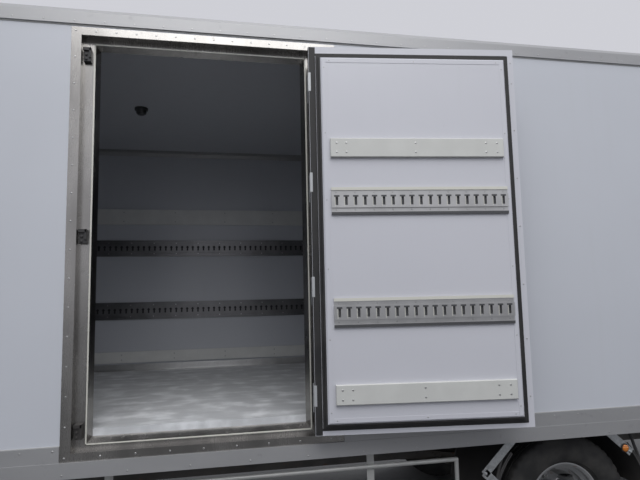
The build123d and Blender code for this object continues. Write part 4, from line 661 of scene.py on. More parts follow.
# Cream of the doorway's bead, and of the painted highlights on the leaf rails' lips and slot edges.
TRIM_CREAM = Finish("trim_cream", (0.66, 0.65, 0.58), 0.38, coat=0.3, drift=0.02)
DARK_STEEL = Worn("dark_steel", (0.045, 0.045, 0.047), 0.42, 0.6, dust=0.25, dust_top=2.8, rust=0.2)
# Black of seams, dial faces and vents, and the painted shade in the wall rails' slots.
SLOT_BLACK = Finish("slot_black", (0.018, 0.018, 0.020), 0.7)
PALE_ZINC = Finish("pale_zinc", (0.46, 0.47, 0.48), 0.45, 0.3, drift=0.06, drift_scale=12.0)
# Grey of the painted shade in the leaf rails' slots and under their raised webs.
PAINTED_SHADE_GREY = Finish("painted_shade_grey", (0.085, 0.086, 0.090), 0.5, 0.4)
GUARD_PALE = GuardTubes("guard_pale", (0.52, 0.52, 0.50), 0.40, 0.25, dust=0.35, dust_top=0.9)
LINING = LiningStrips("lining", (0.20, 0.20, 0.205), 0.34, 0.8)
SMOKED_LENS = Glow("smoked_lens", (0.06, 0.062, 0.065), 0.15, ribs=180.0)
MIRROR_FACE = Finish("mirror_face", (0.75, 0.76, 0.77), 0.04, 1.0, drift=0.01)
BOWL_CHROME = Finish("bowl_chrome", (0.80, 0.81, 0.82), 0.10, 1.0, drift=0.02)
PLATE_BLANK = Finish("plate_blank", (0.50, 0.50, 0.47), 0.35, drift=0.02, dust=0.4, dust_top=0.9)

SLOT_FINISH: dict[str, Finish] = {
    "cab_paint": CAB_WHITE, "panel_skin": SKIN_WHITE, "rail_metal": RAIL_GREY, "stainless": MIRROR_STEEL,
    "galvanised": DULL_ZINC, "chassis_black": FRAME_BLACK, "rim_steel": RIM_GREY, "tyre_rubber": TYRE_BLACK,
    "seal_rubber": SEAL_BLACK, "glass": CLEAR_GLASS, "mirror_shell": MOULDED_BLACK,
    "grille_plastic": BUMPER_GREY, "lamp_lens": LENS_CLEAR, "engine_iron": IRON, "tank_metal": TANK_GREY,
    "spring_steel": SPRING_BLACK, "floor_sheet": FLOOR_METAL, "board": BOARD_WHITE,
    "seat_fabric": SEAT_CLOTH, "dash_plastic": DASH_GREY, "plant_cover": PLANT_WHITE,
}
NODE_FINISH: dict[str, Finish] = {
    "side_leaf": PLUG_WHITE, "leaf_rails": BRIGHT_ZINC, "wall_lining": LINING, "guards": GUARD_PALE,
}


class Palette:
    """Builds each finish once, and puts it on the pieces."""

    def __init__(self) -> None:
        """Start with no material built."""
        self.made: dict[str, bpy.types.Material] = {}

    def material(self, finish: Finish) -> bpy.types.Material:
        """Give a finish's material, built when it is first asked for.

        Args:
            finish: the finish.

        Returns:
            Its material.
        """
        if finish.name not in self.made:
            self.made[finish.name] = finish.make()
        return self.made[finish.name]

    def dress_nodes(self) -> None:
        """Give each carried-over node the finish of its slot, or its own."""
        slots = {part["node"]: part["material_slot"] for part in frame["record"]["subparts"]}
        for name, node in frame["nodes"].items():
            finish = NODE_FINISH.get(name) or SLOT_FINISH[slots[name]]
            node.data.materials.clear()
            node.data.materials.append(self.material(finish))
            log.info("%s wears %s", name, finish.name)


palette = Palette()


# Meshes

class Shape:
    """Gathers plain forms into one mesh, in the frame's metres."""

    def __init__(self) -> None:
        """Start empty."""
        self.points: list[Vector] = []
        self.faces: list[tuple[int, ...]] = []

    def add(self, points: Iterable[Point], faces: Iterable[Sequence[int]], place: Matrix = Matrix()) -> None:
        """Add points and the faces between them.

        Args:
            points: the new points.
            faces: loops of point numbers, counted from the first new point.
            place: where the points go.
        """
        first = len(self.points)
        self.points += [place @ Vector(point) for point in points]
        self.faces += [tuple(first + number for number in loop) for loop in faces]

    def block(self, low: Point, high: Point, place: Matrix = Matrix()) -> None:
        """Add a box.

        Args:
            low: its lowest corner.
            high: its highest corner.
            place: where the box goes.
        """
        (x0, y0, z0), (x1, y1, z1) = low, high
        corners = [(x, y, z) for z in (z0, z1) for x, y in ((x0, y0), (x1, y0), (x1, y1), (x0, y1))]
        sides = [(3, 2, 1, 0), (4, 5, 6, 7), (0, 1, 5, 4), (1, 2, 6, 5), (2, 3, 7, 6), (3, 0, 4, 7)]
        self.add(corners, sides, place)

    def lathe(self, profile: Sequence[tuple[float, float]], steps: int, place: Matrix = Matrix(),
              turn: float = math.tau) -> None:
        """Turn a closed or open profile about the local Z axis.

        Args:
            profile: (radius, height) points; a radius of nought closes the end.
            steps: facets round the axis.
            place: where the form goes.
            turn: the angle turned through.
        """
        whole = abs(turn - math.tau) < 1e-6
        rings = steps if whole else steps + 1
        count = len(profile)
        points = []
        for step in range(rings):
            angle = turn * step / steps
            points += [(r * math.cos(angle), r * math.sin(angle), h) for r, h in profile]
        faces = []
        for step in range(steps):
            here, there = step * count, (step + 1) % rings * count
            faces += [(here + k, there + k, there + k + 1, here + k + 1) for k in range(count - 1)]
        self.add(points, faces, place)

    def prism(self, outline: Sequence[tuple[float, float]], low: float, high: float,
              place: Matrix = Matrix()) -> None:
        """Draw an outline out into a solid.

        Args:
            outline: its (x, y) points, in order.
            low: the height that it starts at.
            high: the height that it ends at.
            place: where the form goes.
        """
        count = len(outline)
        points = [(x, y, low) for x, y in outline] + [(x, y, high) for x, y in outline]
        faces = [tuple(reversed(range(count))), tuple(range(count, 2 * count))]
        faces += [(k, (k + 1) % count, (k + 1) % count + count, k + count) for k in range(count)]
        self.add(points, faces, place)

    def tube(self, path: Sequence[Point], radius: float, sides: int = 10) -> None:
        """Sweep a round section along a path of points.

        Args:
            path: the points of the centreline.
            radius: the tube's radius.
            sides: facets round the tube.
        """
        line = [Vector(point) for point in path]
        points = []
        across = None
        for index, point in enumerate(line):
            ahead = line[min(index + 1, len(line) - 1)] - line[max(index - 1, 0)]
            ahead.normalize()
            if across is None:
                guide = Axis.X.vector if abs(ahead.x) < 0.8 else Axis.Z.vector
                across = ahead.cross(guide)
            across = (across - ahead * across.dot(ahead)).normalized()
            other = ahead.cross(across)
            for side in range(sides):
                angle = math.tau * side / sides
                points.append(point + radius * (math.cos(angle) * across + math.sin(angle) * other))
        faces = [tuple(reversed(range(sides))), tuple(range(len(points) - sides, len(points)))]
        for ring in range(len(line) - 1):
            here, there = ring * sides, (ring + 1) * sides
            faces += [(here + k, here + (k + 1) % sides, there + (k + 1) % sides, there + k)
                      for k in range(sides)]
        self.add(points, faces)

    def piece(self, name: str, finish: Finish, body: str, slot: str, bevel: float = 0.0,
              crease: float = 32.0) -> bpy.types.Object:
        """Make the gathered forms an object that rides on a body.

        Args:
            name: the piece's name.
            finish: its finish.
            body: the body that it rides on.
            slot: the record's material slot; not used.
            bevel: the width of its softened edges.
            crease: edges sharper than this many degrees stay sharp.

        Returns:
            The new object.
        """
        mesh = bpy.data.meshes.new(name)
        mesh.from_pydata([tuple(point) for point in self.points], [], self.faces)
        work = bmesh.new()
        work.from_mesh(mesh)
        bmesh.ops.remove_doubles(work, verts=work.verts, dist=1e-6)
        bmesh.ops.recalc_face_normals(work, faces=work.faces)
        work.to_mesh(mesh)
        work.free()
        mesh.polygons.foreach_set("use_smooth", [True] * len(mesh.polygons))
        mesh.set_sharp_from_angle(angle=math.radians(crease))
        mesh.materials.append(palette.material(finish))
        thing = bpy.data.objects.new(name, mesh)
        bpy.context.scene.collection.objects.link(thing)
        if bevel:
            modifier = thing.modifiers.new("soft_edges", "BEVEL")
            modifier.width = bevel
            modifier.segments = 2
            modifier.limit_method = "ANGLE"
            modifier.harden_normals = False
        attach(thing, body)
        log.info("%s rides on %s with %d faces", name, body, len(mesh.polygons))
        return thing


FORWARD, BACKWARD = (-1, 0, 0), (1, 0, 0)
# An outline drawn as (x, z) gets its thickness along Y, and one drawn as (y, z) gets it along X.
SIDE_VIEW = Matrix(((1, 0, 0, 0), (0, 0, 1, 0), (0, 1, 0, 0), (0, 0, 0, 1)))
END_VIEW = Matrix(((0, 0, 1, 0), (1, 0, 0, 0), (0, 1, 0, 0), (0, 0, 0, 1)))


def aimed(point: Point, direction: Point) -> Matrix:
    """Placement whose local Z points along a direction from a point."""
    return Matrix.Translation(Vector(point)) @ Vector(direction).to_track_quat("Z", "Y").to_matrix().to_4x4()


def screw(shape: Shape, point: Point, direction: Point, radius: float = 0.006, height: float = 0.0025,
          steps: int = 10, place: Matrix = Matrix()) -> None:
    """Add a pan-head screw or rivet to a shape.

    Args:
        shape: the shape that gathers it.
        point: where its head sits.
        direction: where the head points.
        radius: the head's radius.
        height: how proud the head stands.
        steps: facets round it.
        place: the axes that the point and the direction are given in.
    """
    shape.lathe([(radius, -0.0005), (radius, height * 0.35), (radius * 0.72, height * 0.85), (0.0, height)],
                steps, place @ aimed(point, direction))


def bolt(shape: Shape, point: Point, direction: Point, across: float = 0.019,
         place: Matrix = Matrix()) -> None:
    """Add a hexagon head on its washer to a shape.

    Args:
        shape: the shape that gathers it.
        point: where the washer sits.
        direction: where the head points.
        across: the hexagon's width.
        place: the axes that the point and the direction are given in.
    """
    seat = place @ aimed(point, direction)
    shape.lathe([(across * 0.66, -0.0005), (across * 0.66, 0.002), (0.0, 0.002)], 14, seat)
    corner = across / math.sqrt(3)
    top = across * 0.6
    shape.lathe([(corner, 0.001), (corner, across * 0.5), (corner * 0.8, top), (0.0, top)], 6, seat)


def spread(start: Point, end: Point, pitch: float) -> list[Vector]:
    """Points on a line, both ends among them, about a pitch apart.

    Args:
        start: the first point.
        end: the last point.
        pitch: the distance wanted between two points.

    Returns:
        The points.
    """
    first, last = Vector(start), Vector(end)
    gaps = max(1, round((last - first).length / pitch))
    return [first.lerp(last, step / gaps) for step in range(gaps + 1)]


def row(shape: Shape, start: Point, end: Point, pitch: float, direction: Point, head: Head,
        place: Matrix = Matrix()) -> None:
    """Add a row of screws or rivets to a shape.

    Args:
        shape: the shape that gathers them.
        start: the first one's seat.
        end: the last one's seat.
        pitch: the distance wanted between two.
        direction: where the heads point.
        head: a head's radius, height and facets.
        place: the axes that the ends and the direction are given in.
    """
    for point in spread(start, end, pitch):
        screw(shape, point, direction, *head, place)


def arc(radius: float, start: float, end: float, steps: int) -> list[tuple[float, float]]:
    """Points on an arc about the origin, both ends among them.

    Args:
        radius: the arc's radius.
        start: the angle that it starts at, in radians.
        end: the angle that it ends at.
        steps: the stretches that it is cut into.

    Returns:
        The (x, y) points.
    """
    angles = [start + (end - start) * step / steps for step in range(steps + 1)]
    return [(radius * math.cos(angle), radius * math.sin(angle)) for angle in angles]


def corners(x0: float, x1: float, y0: float, y1: float) -> list[tuple[float, float]]:
    """The four corners of a rectangle, counted round it."""
    return [(x0, y0), (x1, y0), (x1, y1), (x0, y1)]


def grid_faces(cells: int, first: int = 0) -> list[tuple[int, ...]]:
    """Faces of a square grid of points that are counted row by row.

    Args:
        cells: the faces along one side.
        first: the number of the grid's first point.

    Returns:
        The loops of point numbers.
    """
    side = cells + 1
    starts = [first + a * side + b for a in range(cells) for b in range(cells)]
    return [(start, start + side, start + side + 1, start + 1) for start in starts]


# Side doorway

DOORWAY = Matrix.Translation((1.92, -1.245, 0.89))
LEAF_PIN = Vector((1.25, -0.03, 0.0))
LEAF_ANGLE = math.radians(173.3)
OPEN_LEAF = (DOORWAY @ Matrix.Translation(LEAF_PIN) @ Matrix.Rotation(LEAF_ANGLE, 4, "Z")
             @ Matrix.Translation(-LEAF_PIN))
HINGE_FEET = (0.208, 0.764, 1.320, 1.876)


@dataclass
class SideDoorway:
    """Rivets, keepers and sealing bead of the doorway's frame, in the doorway's own axes."""

    width: float = 1.404
    height: float = 2.197
    proud: float = 0.003
    band: tuple[float, float, float, float] = (0.020, 0.070, 0.018, 0.020)
    rivet_pitch: tuple[float, float, float] = (0.148, 0.155, 0.100)
    rivet: Head = (0.0048, 0.0022, 10)
    catch_levels: tuple[float, ...] = (0.130, 1.095, 2.060)
    catch_x: tuple[float, float] = (0.057, 0.091)
    catch_y: tuple[float, float] = (0.026, 0.050)
    catch_half: float = 0.035
    bead: tuple[float, float] = (0.007, 0.0028)
    strip: tuple[float, float, float, float] = (0.111, 1.236, 0.068, 2.124)
    hinge_bolts: tuple[float, float] = (1.320, -0.009)

    def build(self) -> None:
        """Make the frame's small pieces."""
        self._rivets()
        self._keepers()
        self._bead()
        self._hinge_bolts()

    def _rivets(self) -> None:
        """Rivet the flange to the wall along its four bands."""
        heads = Shape()
        front, rear, foot, head = self.band
        upright, low, high = self.rivet_pitch
        left, right, top = front, self.width - rear, self.height - head
        outer = right + 0.048
        runs = ((left, foot, left, top, upright), (outer, foot, outer, top, upright),
                (left, foot, right, foot, low), (left, top, right, top, high))
        for x0, z0, x1, z1, pitch in runs:
            row(heads, (x0, -self.proud, z0), (x1, -self.proud, z1), pitch, Side.LEFT.out, self.rivet,
                DOORWAY)
        heads.piece("doorway_rivets", SCREW_STEEL, "chassis", "stainless")

    def _keepers(self) -> None:
        """Cover each catch with its dark hooked keeper and two bolts."""
        hooks = Shape()
        skin = 0.0016
        x0, x1 = self.catch_x[0] - skin, self.catch_x[1] + skin
        y0, y1 = self.catch_y[0] - skin, self.catch_y[1]
        for level in self.catch_levels:
            low, high = level - self.catch_half - skin, level + self.catch_half + skin
            hooks.block((x0, y0, low), (x1, y1, high), DOORWAY)
            hooks.block((x0 - 0.002, y0 - 0.010, high - 0.016), (x1, y0, high), DOORWAY)
            hooks.block((x1 - 0.009, y0 - 0.010, low + 0.020), (x1, y0, high), DOORWAY)
            for rise in (0.012, 0.036):
                bolt(hooks, (x0 + 0.013, y0, low + rise), Side.LEFT.out, 0.011, DOORWAY)
        hooks.piece("door_keepers", DARK_STEEL, "chassis", "galvanised", bevel=0.0008)

    def _bead(self) -> None:
        """Lay a pale bead round the opening, where the frame steps in."""
        wide, high = self.bead
        x0, x1, z0, z1 = self.strip
        clear = 0.0005
        left, right, low, top = x0 - wide, x1 + wide, z0 - wide, z1 + wide
        line = Shape()
        for near, foot, far, head in ((left, low, x0 - clear, top), (x1 + clear, low, right, top),
                                      (left, low, right, z0 - clear), (left, z1 + clear, right, top)):
            line.block((near, 0.050 - high, foot), (far, 0.0505, head), DOORWAY)
        line.piece("doorway_bead", TRIM_CREAM, "chassis", "stainless", bevel=0.001)

    def _hinge_bolts(self) -> None:
        """Bolt each hinge post's plate to the frame, and cap its pin."""
        heads = Shape()
        for foot in HINGE_FEET:
            low = foot - 0.040
            for level in (low - 0.017, foot + 0.014, foot + 0.044):
                bolt(heads, (*self.hinge_bolts, level), Side.LEFT.out, 0.013, DOORWAY)
            heads.lathe([(0.010, -0.0005), (0.010, 0.004), (0.006, 0.006), (0.0, 0.006)], 14,
                        DOORWAY @ aimed((LEAF_PIN.x, LEAF_PIN.y, low), (0, 0, -1)))
        heads.piece("door_hinge_bolts", DULL_ZINC, "chassis", "galvanised")


@dataclass
class SideLeaf:
    """Trims, the lashing rails' slots and edges in painted shade and highlight, screws and rubber of the open
    leaf's inner face, in the closed leaf's axes.
    """

    face: float = 0.084
    plug: tuple[float, float, float, float] = (0.173, 1.197, 0.123, 2.052)
    trim: tuple[float, float, float] = (0.008, 0.022, 0.0014)
    rails: tuple[tuple[float, float], ...] = ((1.189, 1.334), (0.605, 0.754))
    boards: tuple[tuple[float, float], ...] = ((1.496, 1.598), (0.219, 0.319))
    rail_span: tuple[float, float] = (0.199, 1.154)
    board_span: tuple[float, float] = (0.209, 1.154)
    board_screws: tuple[float, ...] = (0.04, 0.105, 0.515, 0.91, 0.965)
    slots: int = 19
    slot_pitch: float = 0.050
    rubber: tuple[float, float, float, float] = (1.2215, 1.2565, 0.064, 2.125)
    ring: tuple[float, float, float] = (0.1490, 0.0990, 2.0760)
    ring_width: float = 0.0135
    rubber_y: tuple[float, float] = (0.0445, 0.0465)
    tab_y: tuple[float, float] = (0.0455, 0.0469)
    tab_length: float = 0.105
    rim_rivets: tuple[float, ...] = (0.22, 0.52, 0.81, 1.125, 1.39, 1.66, 1.93, 2.05)
    slab: tuple[float, float, float, float] = (0.103, 1.258, 0.062, 2.127)
    trim_screw: Head = (0.0036, 0.0016, 10)
    rail_screw: Head = (0.0042, 0.0020, 10)
    board_screw: Head = (0.0052, 0.0018, 12)

    def build(self) -> None:
        """Make the leaf's small pieces."""
        self._trims()
        self._rail_dress()
        self._board_screws()
        self._rubber()
        self._outside()

    def _trims(self) -> None:
        """Frame the panel with four flat trims and their screws."""
        inset, wide, thick = self.trim
        x0, x1 = self.plug[0] + inset, self.plug[1] - inset
        z0, z1 = self.plug[2] + inset, self.plug[3] - inset
        y0, y1 = self.face - 0.0005, self.face + thick
        strips, heads = Shape(), Shape()
        strips.block((x0, y0, z0), (x0 + wide, y1, z1), OPEN_LEAF)
        strips.block((x1 - wide, y0, z0), (x1, y1, z1), OPEN_LEAF)
        for low in (z0, z1 - wide):
            strips.block((x0 + wide + 0.0006, y0, low), (x1 - wide - 0.0006, y1, low + wide), OPEN_LEAF)
        strips.piece("leaf_trims", PLUG_WHITE, "side_door", "panel_skin", bevel=0.0005)
        half = wide / 2
        runs = [((x, y1, z0 + 0.05), (x, y1, z1 - 0.05), 0.38) for x in (x0 + half, x1 - half)]
        runs += [((x0 + 0.04, y1, z), (x1 - 0.04, y1, z), 0.46) for z in (z0 + half, z1 - half)]
        for start, end, pitch in runs:
            row(heads, start, end, pitch, Side.RIGHT.out, self.trim_screw, OPEN_LEAF)
        for level in self.rim_rivets:
            screw(heads, (self.slab[0] + 0.016, 0.045, level), Side.RIGHT.out, 0.004, 0.002, 10, OPEN_LEAF)
        heads.piece("leaf_screws", SCREW_STEEL, "side_door", "galvanised")

    def _rail_dress(self) -> None:
        """Give each lashing rail a painted highlight on its top lip and slot edges, painted shade in its
        cross-shaped slots and along its foot, and screw rows.
        """
        painted_highlights, dark, heads = Shape(), Shape(), Shape()
        x0, x1 = self.rail_span
        start = (x0 + x1 - (self.slots - 1) * self.slot_pitch) / 2
        inset = 0.025
        # Round the middle of each slot: the shape, then low and high X, depth from the face, and height. The
        # two dark marks are painted shade in the slot's opening; the pale one is a painted highlight on its
        # lit edge.
        marks = ((dark, (-0.0069, 0.0069), (0.0035, 0.0048), (-0.0219, 0.0219)),
                 (dark, (-0.0145, 0.0145), (0.0138, 0.0146), (0.0215, 0.0305)),
                 (painted_highlights, (0.0074, 0.0104), (0.0135, 0.0150), (-0.0290, 0.0210)))
        for low, high in self.rails:
            middle = (low + high) / 2
            y = self.face + 0.004
            # Along each rail: a pale strip on its top lip as a painted highlight, and a dark strip at its
            # foot as the painted shadow under the raised web.
            painted_highlights.block((x0, y, high - 0.015), (x1, self.face + 0.0105, high + 0.0006), OPEN_LEAF)
            dark.block((x0, y, low - 0.0004), (x1, self.face + 0.0100, low + 0.014), OPEN_LEAF)
            for step in range(self.slots):
                x = start + step * self.slot_pitch
                for shape, wide, deep, tall in marks:
                    shape.block((x + wide[0], self.face + deep[0], middle + tall[0]),
                                (x + wide[1], self.face + deep[1], middle + tall[1]), OPEN_LEAF)
            for z in (high - 0.0262, low + 0.0262):
                row(heads, (x0 + inset, y, z), (x1 - inset, y, z), 0.10, Side.RIGHT.out, self.rail_screw,
                    OPEN_LEAF)
        painted_highlights.piece("leaf_rail_painted_highlights", TRIM_CREAM, "side_door", "galvanised")
        dark.piece("leaf_rail_painted_shade", PAINTED_SHADE_GREY, "side_door", "galvanised")
        heads.piece("leaf_rail_screws", SCREW_STEEL, "side_door", "galvanised")

    def _board_screws(self) -> None:
        """Screw each rubbing board down in pairs."""
        heads = Shape()
        x0, x1 = self.board_span
        for low, high in self.boards:
            for share in self.board_screws:
                for level in (low + 0.026, high - 0.026):
                    spot = (x0 + share * (x1 - x0), self.face + 0.018, level)
                    screw(heads, spot, Side.RIGHT.out, *self.board_screw, OPEN_LEAF)
        heads.piece("leaf_board_screws", SCREW_STEEL, "side_door", "board")

    def _rubber(self) -> None:
        """Lay the rubber bands along the slab's hinge side and round its edge, and the tabs on them."""
        x0, x1, z0, z1 = self.rubber
        back, front = self.rubber_y
        left, low, high = self.ring
        edge, grow = self.slab[1], self.ring_width
        band, tabs = Shape(), Shape()
        for near, far in (((x0, z0), (x1, z1)), ((left - grow, low - grow), (left, high + grow)),
                          ((left, low - grow), (x0, low)), ((left, high), (x0, high + grow))):
            band.block((near[0], back, near[1]), (far[0], front, far[1]), OPEN_LEAF)
        band.block((edge - 0.0005, 0.006, z0), (edge + 0.0022, back, z1), OPEN_LEAF)
        band.piece("leaf_hinge_rubber", SEAL_BLACK, "side_door", "seal_rubber", bevel=0.0012)
        for foot in HINGE_FEET:
            head = foot + self.tab_length
            tabs.block((edge - 0.0110, self.tab_y[0], foot), (edge + 0.0010, self.tab_y[1], head), OPEN_LEAF)
            tabs.block((edge - 0.0005, 0.0100, foot), (edge + 0.0038, self.tab_y[1], head), OPEN_LEAF)
        tabs.piece("leaf_hinge_tabs", PALE_ZINC, "side_door", "galvanised", bevel=0.0008)

    def _outside(self) -> None:
        """Edge the leaf's outer face, and bolt its straps down."""
        x0, x1, z0, z1 = self.slab
        edging, heads = Shape(), Shape()
        wide, narrow, thick = 0.030, 0.018, 0.0015
        for near, far in (((x0, z0), (x0 + wide, z1)), ((x1 - narrow, z0), (x1, z1)),
                          ((x0 + wide, z0), (x1 - narrow, z0 + wide)),
                          ((x0 + wide, z1 - wide), (x1 - narrow, z1))):
            edging.block((near[0], -thick, near[1]), (far[0], 0.0005, far[1]), OPEN_LEAF)
        edging.piece("leaf_outer_edging", RAIL_GREY, "side_door", "rail_metal")
        for foot in HINGE_FEET:
            for x in (1.100, 1.150, 1.200):
                for level in (foot + 0.026, foot + 0.079):
                    bolt(heads, (x, -0.006, level), Side.LEFT.out, 0.013, OPEN_LEAF)
        heads.piece("leaf_strap_bolts", DULL_ZINC, "side_door", "galvanised")


@dataclass
class LoadSpace:
    """Slots painted as shade, screws, lamps and angles inside the box, and the cooler's fans."""

    wall: float = 1.155
    length: tuple[float, float] = (0.83, 7.02)
    door: tuple[float, float] = (1.92, 3.324)
    floor: float = 1.020
    ceiling: float = 3.080
    rails: tuple[tuple[float, float], ...] = ((2.068, 2.219), (1.483, 1.640))
    boards: tuple[tuple[float, float], ...] = ((2.370, 2.513), (1.090, 1.190))
    rail_thick: float = 0.014
    board_thick: float = 0.018
    lamp_spots: tuple[tuple[float, float], ...] = ((2.12, -0.06), (4.10, -0.06), (6.10, -0.06))
    fan_x: float = 0.990
    fans: tuple[float, ...] = (-0.440, 0.0, 0.440)
    fan_radius: float = 0.118
    fan_foot: float = 2.850
    rail_screw: Head = (0.0050, 0.0022, 8)
    board_screw: Head = (0.0060, 0.0020, 10)
    angle_rivet: Head = (0.0045, 0.0022, 8)
    cove_ends: tuple[float, float] = (0.79, 7.04)

    def build(self) -> None:
        """Make what is fixed inside the box."""
        self._rail_dress()
        self._screws()
        self._angles()
        self._lamps()
        self._cooler()

    def _spans(self, side: Side) -> Iterable[tuple[float, float]]:
        """The stretches of a wall that carry lining: the left one stops at the doorway.

        Args:
            side: the wall's side.

        Returns:
            The low and high X of each stretch.
        """
        if side is Side.RIGHT:
            return (self.length,)
        return ((self.length[0], self.door[0]), (self.door[1], self.length[1]))

    def _rail_dress(self) -> None:
        """Mark the lashing rails' slots with black blocks: painted shade for their shaded openings."""
        dark = Shape()
        face = self.wall - self.rail_thick
        for side in Side:
            y0, y1 = side.span(face, face - 0.0006)
            for low, high in self.rails:
                middle = (low + high) / 2
                for start, end in self._spans(side):
                    for x, _, _ in spread((start + 0.03, 0, 0), (end - 0.03, 0, 0), 0.050):
                        dark.block((x - 0.007, y0, middle - 0.022), (x + 0.007, y1, middle + 0.022))
                        dark.block((x - 0.012, y0, middle + 0.006), (x + 0.012, y1, middle + 0.015))
        dark.piece("wall_rail_slot_shade", SLOT_BLACK, "chassis", "galvanised")

    def _screws(self) -> None:
        """Screw the rails and boards to the walls."""
        heads = Shape()
        # The strips, their depth at the screws, and the screws' distance from edge and end, pitch and head.
        kinds = ((self.rails, 0.005, 0.026, 0.05, 0.20, self.rail_screw),
                 (self.boards, self.board_thick, 0.028, 0.06, 0.45, self.board_screw))
        for side in Side:
            inward = (0, -side.value, 0)
            for start, end in self._spans(side):
                for strips, deep, edge, inset, pitch, head in kinds:
                    y = side.value * (self.wall - deep)
                    for low, high in strips:
                        for z in (low + edge, high - edge):
                            row(heads, (start + inset, y, z), (end - inset, y, z), pitch, inward, head)
        heads.piece("lining_screws", SCREW_STEEL, "chassis", "galvanised")

    def _angles(self) -> None:
        """Run an angle along each wall's foot and a cove along its head."""
        angle, cove, heads = Shape(), Shape(), Shape()
        thick, upright, flat, size = 0.0022, 0.055, 0.042, 0.05
        near, foot = self.wall - thick, self.floor
        for side in Side:
            for x0, x1 in self._spans(side):
                y0, y1 = side.span(self.wall, near)
                angle.block((x0, y0, foot), (x1, y1, foot + upright))
                y0, y1 = side.span(near, self.wall - flat)
                angle.block((x0, y0, foot), (x1, y1, foot + thick))
                y, z = side.value * near, foot + 0.038
                row(heads, (x0 + 0.04, y, z), (x1 - 0.04, y, z), 0.15, (0, -side.value, 0), self.angle_rivet)
            section = ((size, 0.0), (size, 0.004), (0.018, 0.018), (0.004, size), (0.0, size), (0.0, 0.0))
            outline = [(side.value * (self.wall - deep), self.ceiling - drop) for deep, drop in section]
            cove.prism(outline, *self.cove_ends, END_VIEW)
        angle.piece("floor_angles", BRIGHT_ZINC, "chassis", "galvanised")
        cove.piece("ceiling_coves", RAIL_GREY, "chassis", "rail_metal")
        heads.piece("floor_angle_rivets", SCREW_STEEL, "chassis", "galvanised")

    def _lamps(self) -> None:
        """Fix the round ceiling lamps: a dark rim round a shallow lens."""
        rims, lenses = Shape(), Shape()
        for x, y in self.lamp_spots:
            seat = aimed((x, y, self.ceiling), (0, 0, -1))
            rims.lathe([(0.048, -0.001), (0.048, 0.014), (0.045, 0.019), (0.040, 0.020), (0.039, 0.012)],
                       36, seat)
            lenses.lathe([(0.0395, 0.006), (0.039, 0.030), (0.034, 0.044), (0.020, 0.054), (0.0, 0.057)],
                         36, seat)
        rims.piece("ceiling_lamp_rims", MOULDED_BLACK, "chassis", "mirror_shell")
        lenses.piece("ceiling_lamp_lenses", SMOKED_LENS, "chassis", "lamp_lens")

    def _cooler(self) -> None:
        """Hang fan blades and wire guards in the cooler's three openings, and fins at its outlet."""
        blades, wires, fins = Shape(), Shape(), Shape()
        blade_count, spokes, fin_count, fin_half = 5, 4, 60, 0.64
        pitched = Matrix.Rotation(math.radians(22), 4, "X")
        for centre in self.fans:
            x = self.fan_x
            place = Matrix.Translation((x, centre, self.fan_foot + 0.010))
            blades.lathe([(0.030, -0.008), (0.030, 0.010), (0.0, 0.010)], 16, place)
            for turn in range(blade_count):
                spin = place @ Matrix.Rotation(math.tau * turn / blade_count, 4, "Z") @ pitched
                blades.block((0.024, -0.026, -0.0010), (0.108, 0.026, 0.0010), spin)
            level = self.fan_foot - 0.002
            for ring in (0.030, 0.052, 0.074, 0.096, self.fan_radius):
                wires.tube([(x + a, centre + b, level) for a, b in arc(ring, 0.0, math.tau, 36)], 0.0016, 6)
            level = self.fan_foot - 0.0035
            for a, b in arc(self.fan_radius, 0.0, math.pi, spokes)[:-1]:
                wires.tube([(x - a, centre - b, level), (x + a, centre + b, level)], 0.0016, 6)
        for y, _, _ in spread((-fin_half, 0, 0), (fin_half, 0, 0), 2 * fin_half / (fin_count - 1)):
            fins.block((1.2398, y - 0.0012, 3.018), (1.2425, y + 0.0012, 3.072))
        blades.piece("cooler_fan_blades", MOULDED_BLACK, "chassis", "mirror_shell")
        wires.piece("cooler_fan_guards", BRIGHT_ZINC, "chassis", "galvanised")
        fins.piece("cooler_outlet_fins", BRIGHT_ZINC, "chassis", "galvanised")


# Outside of the box

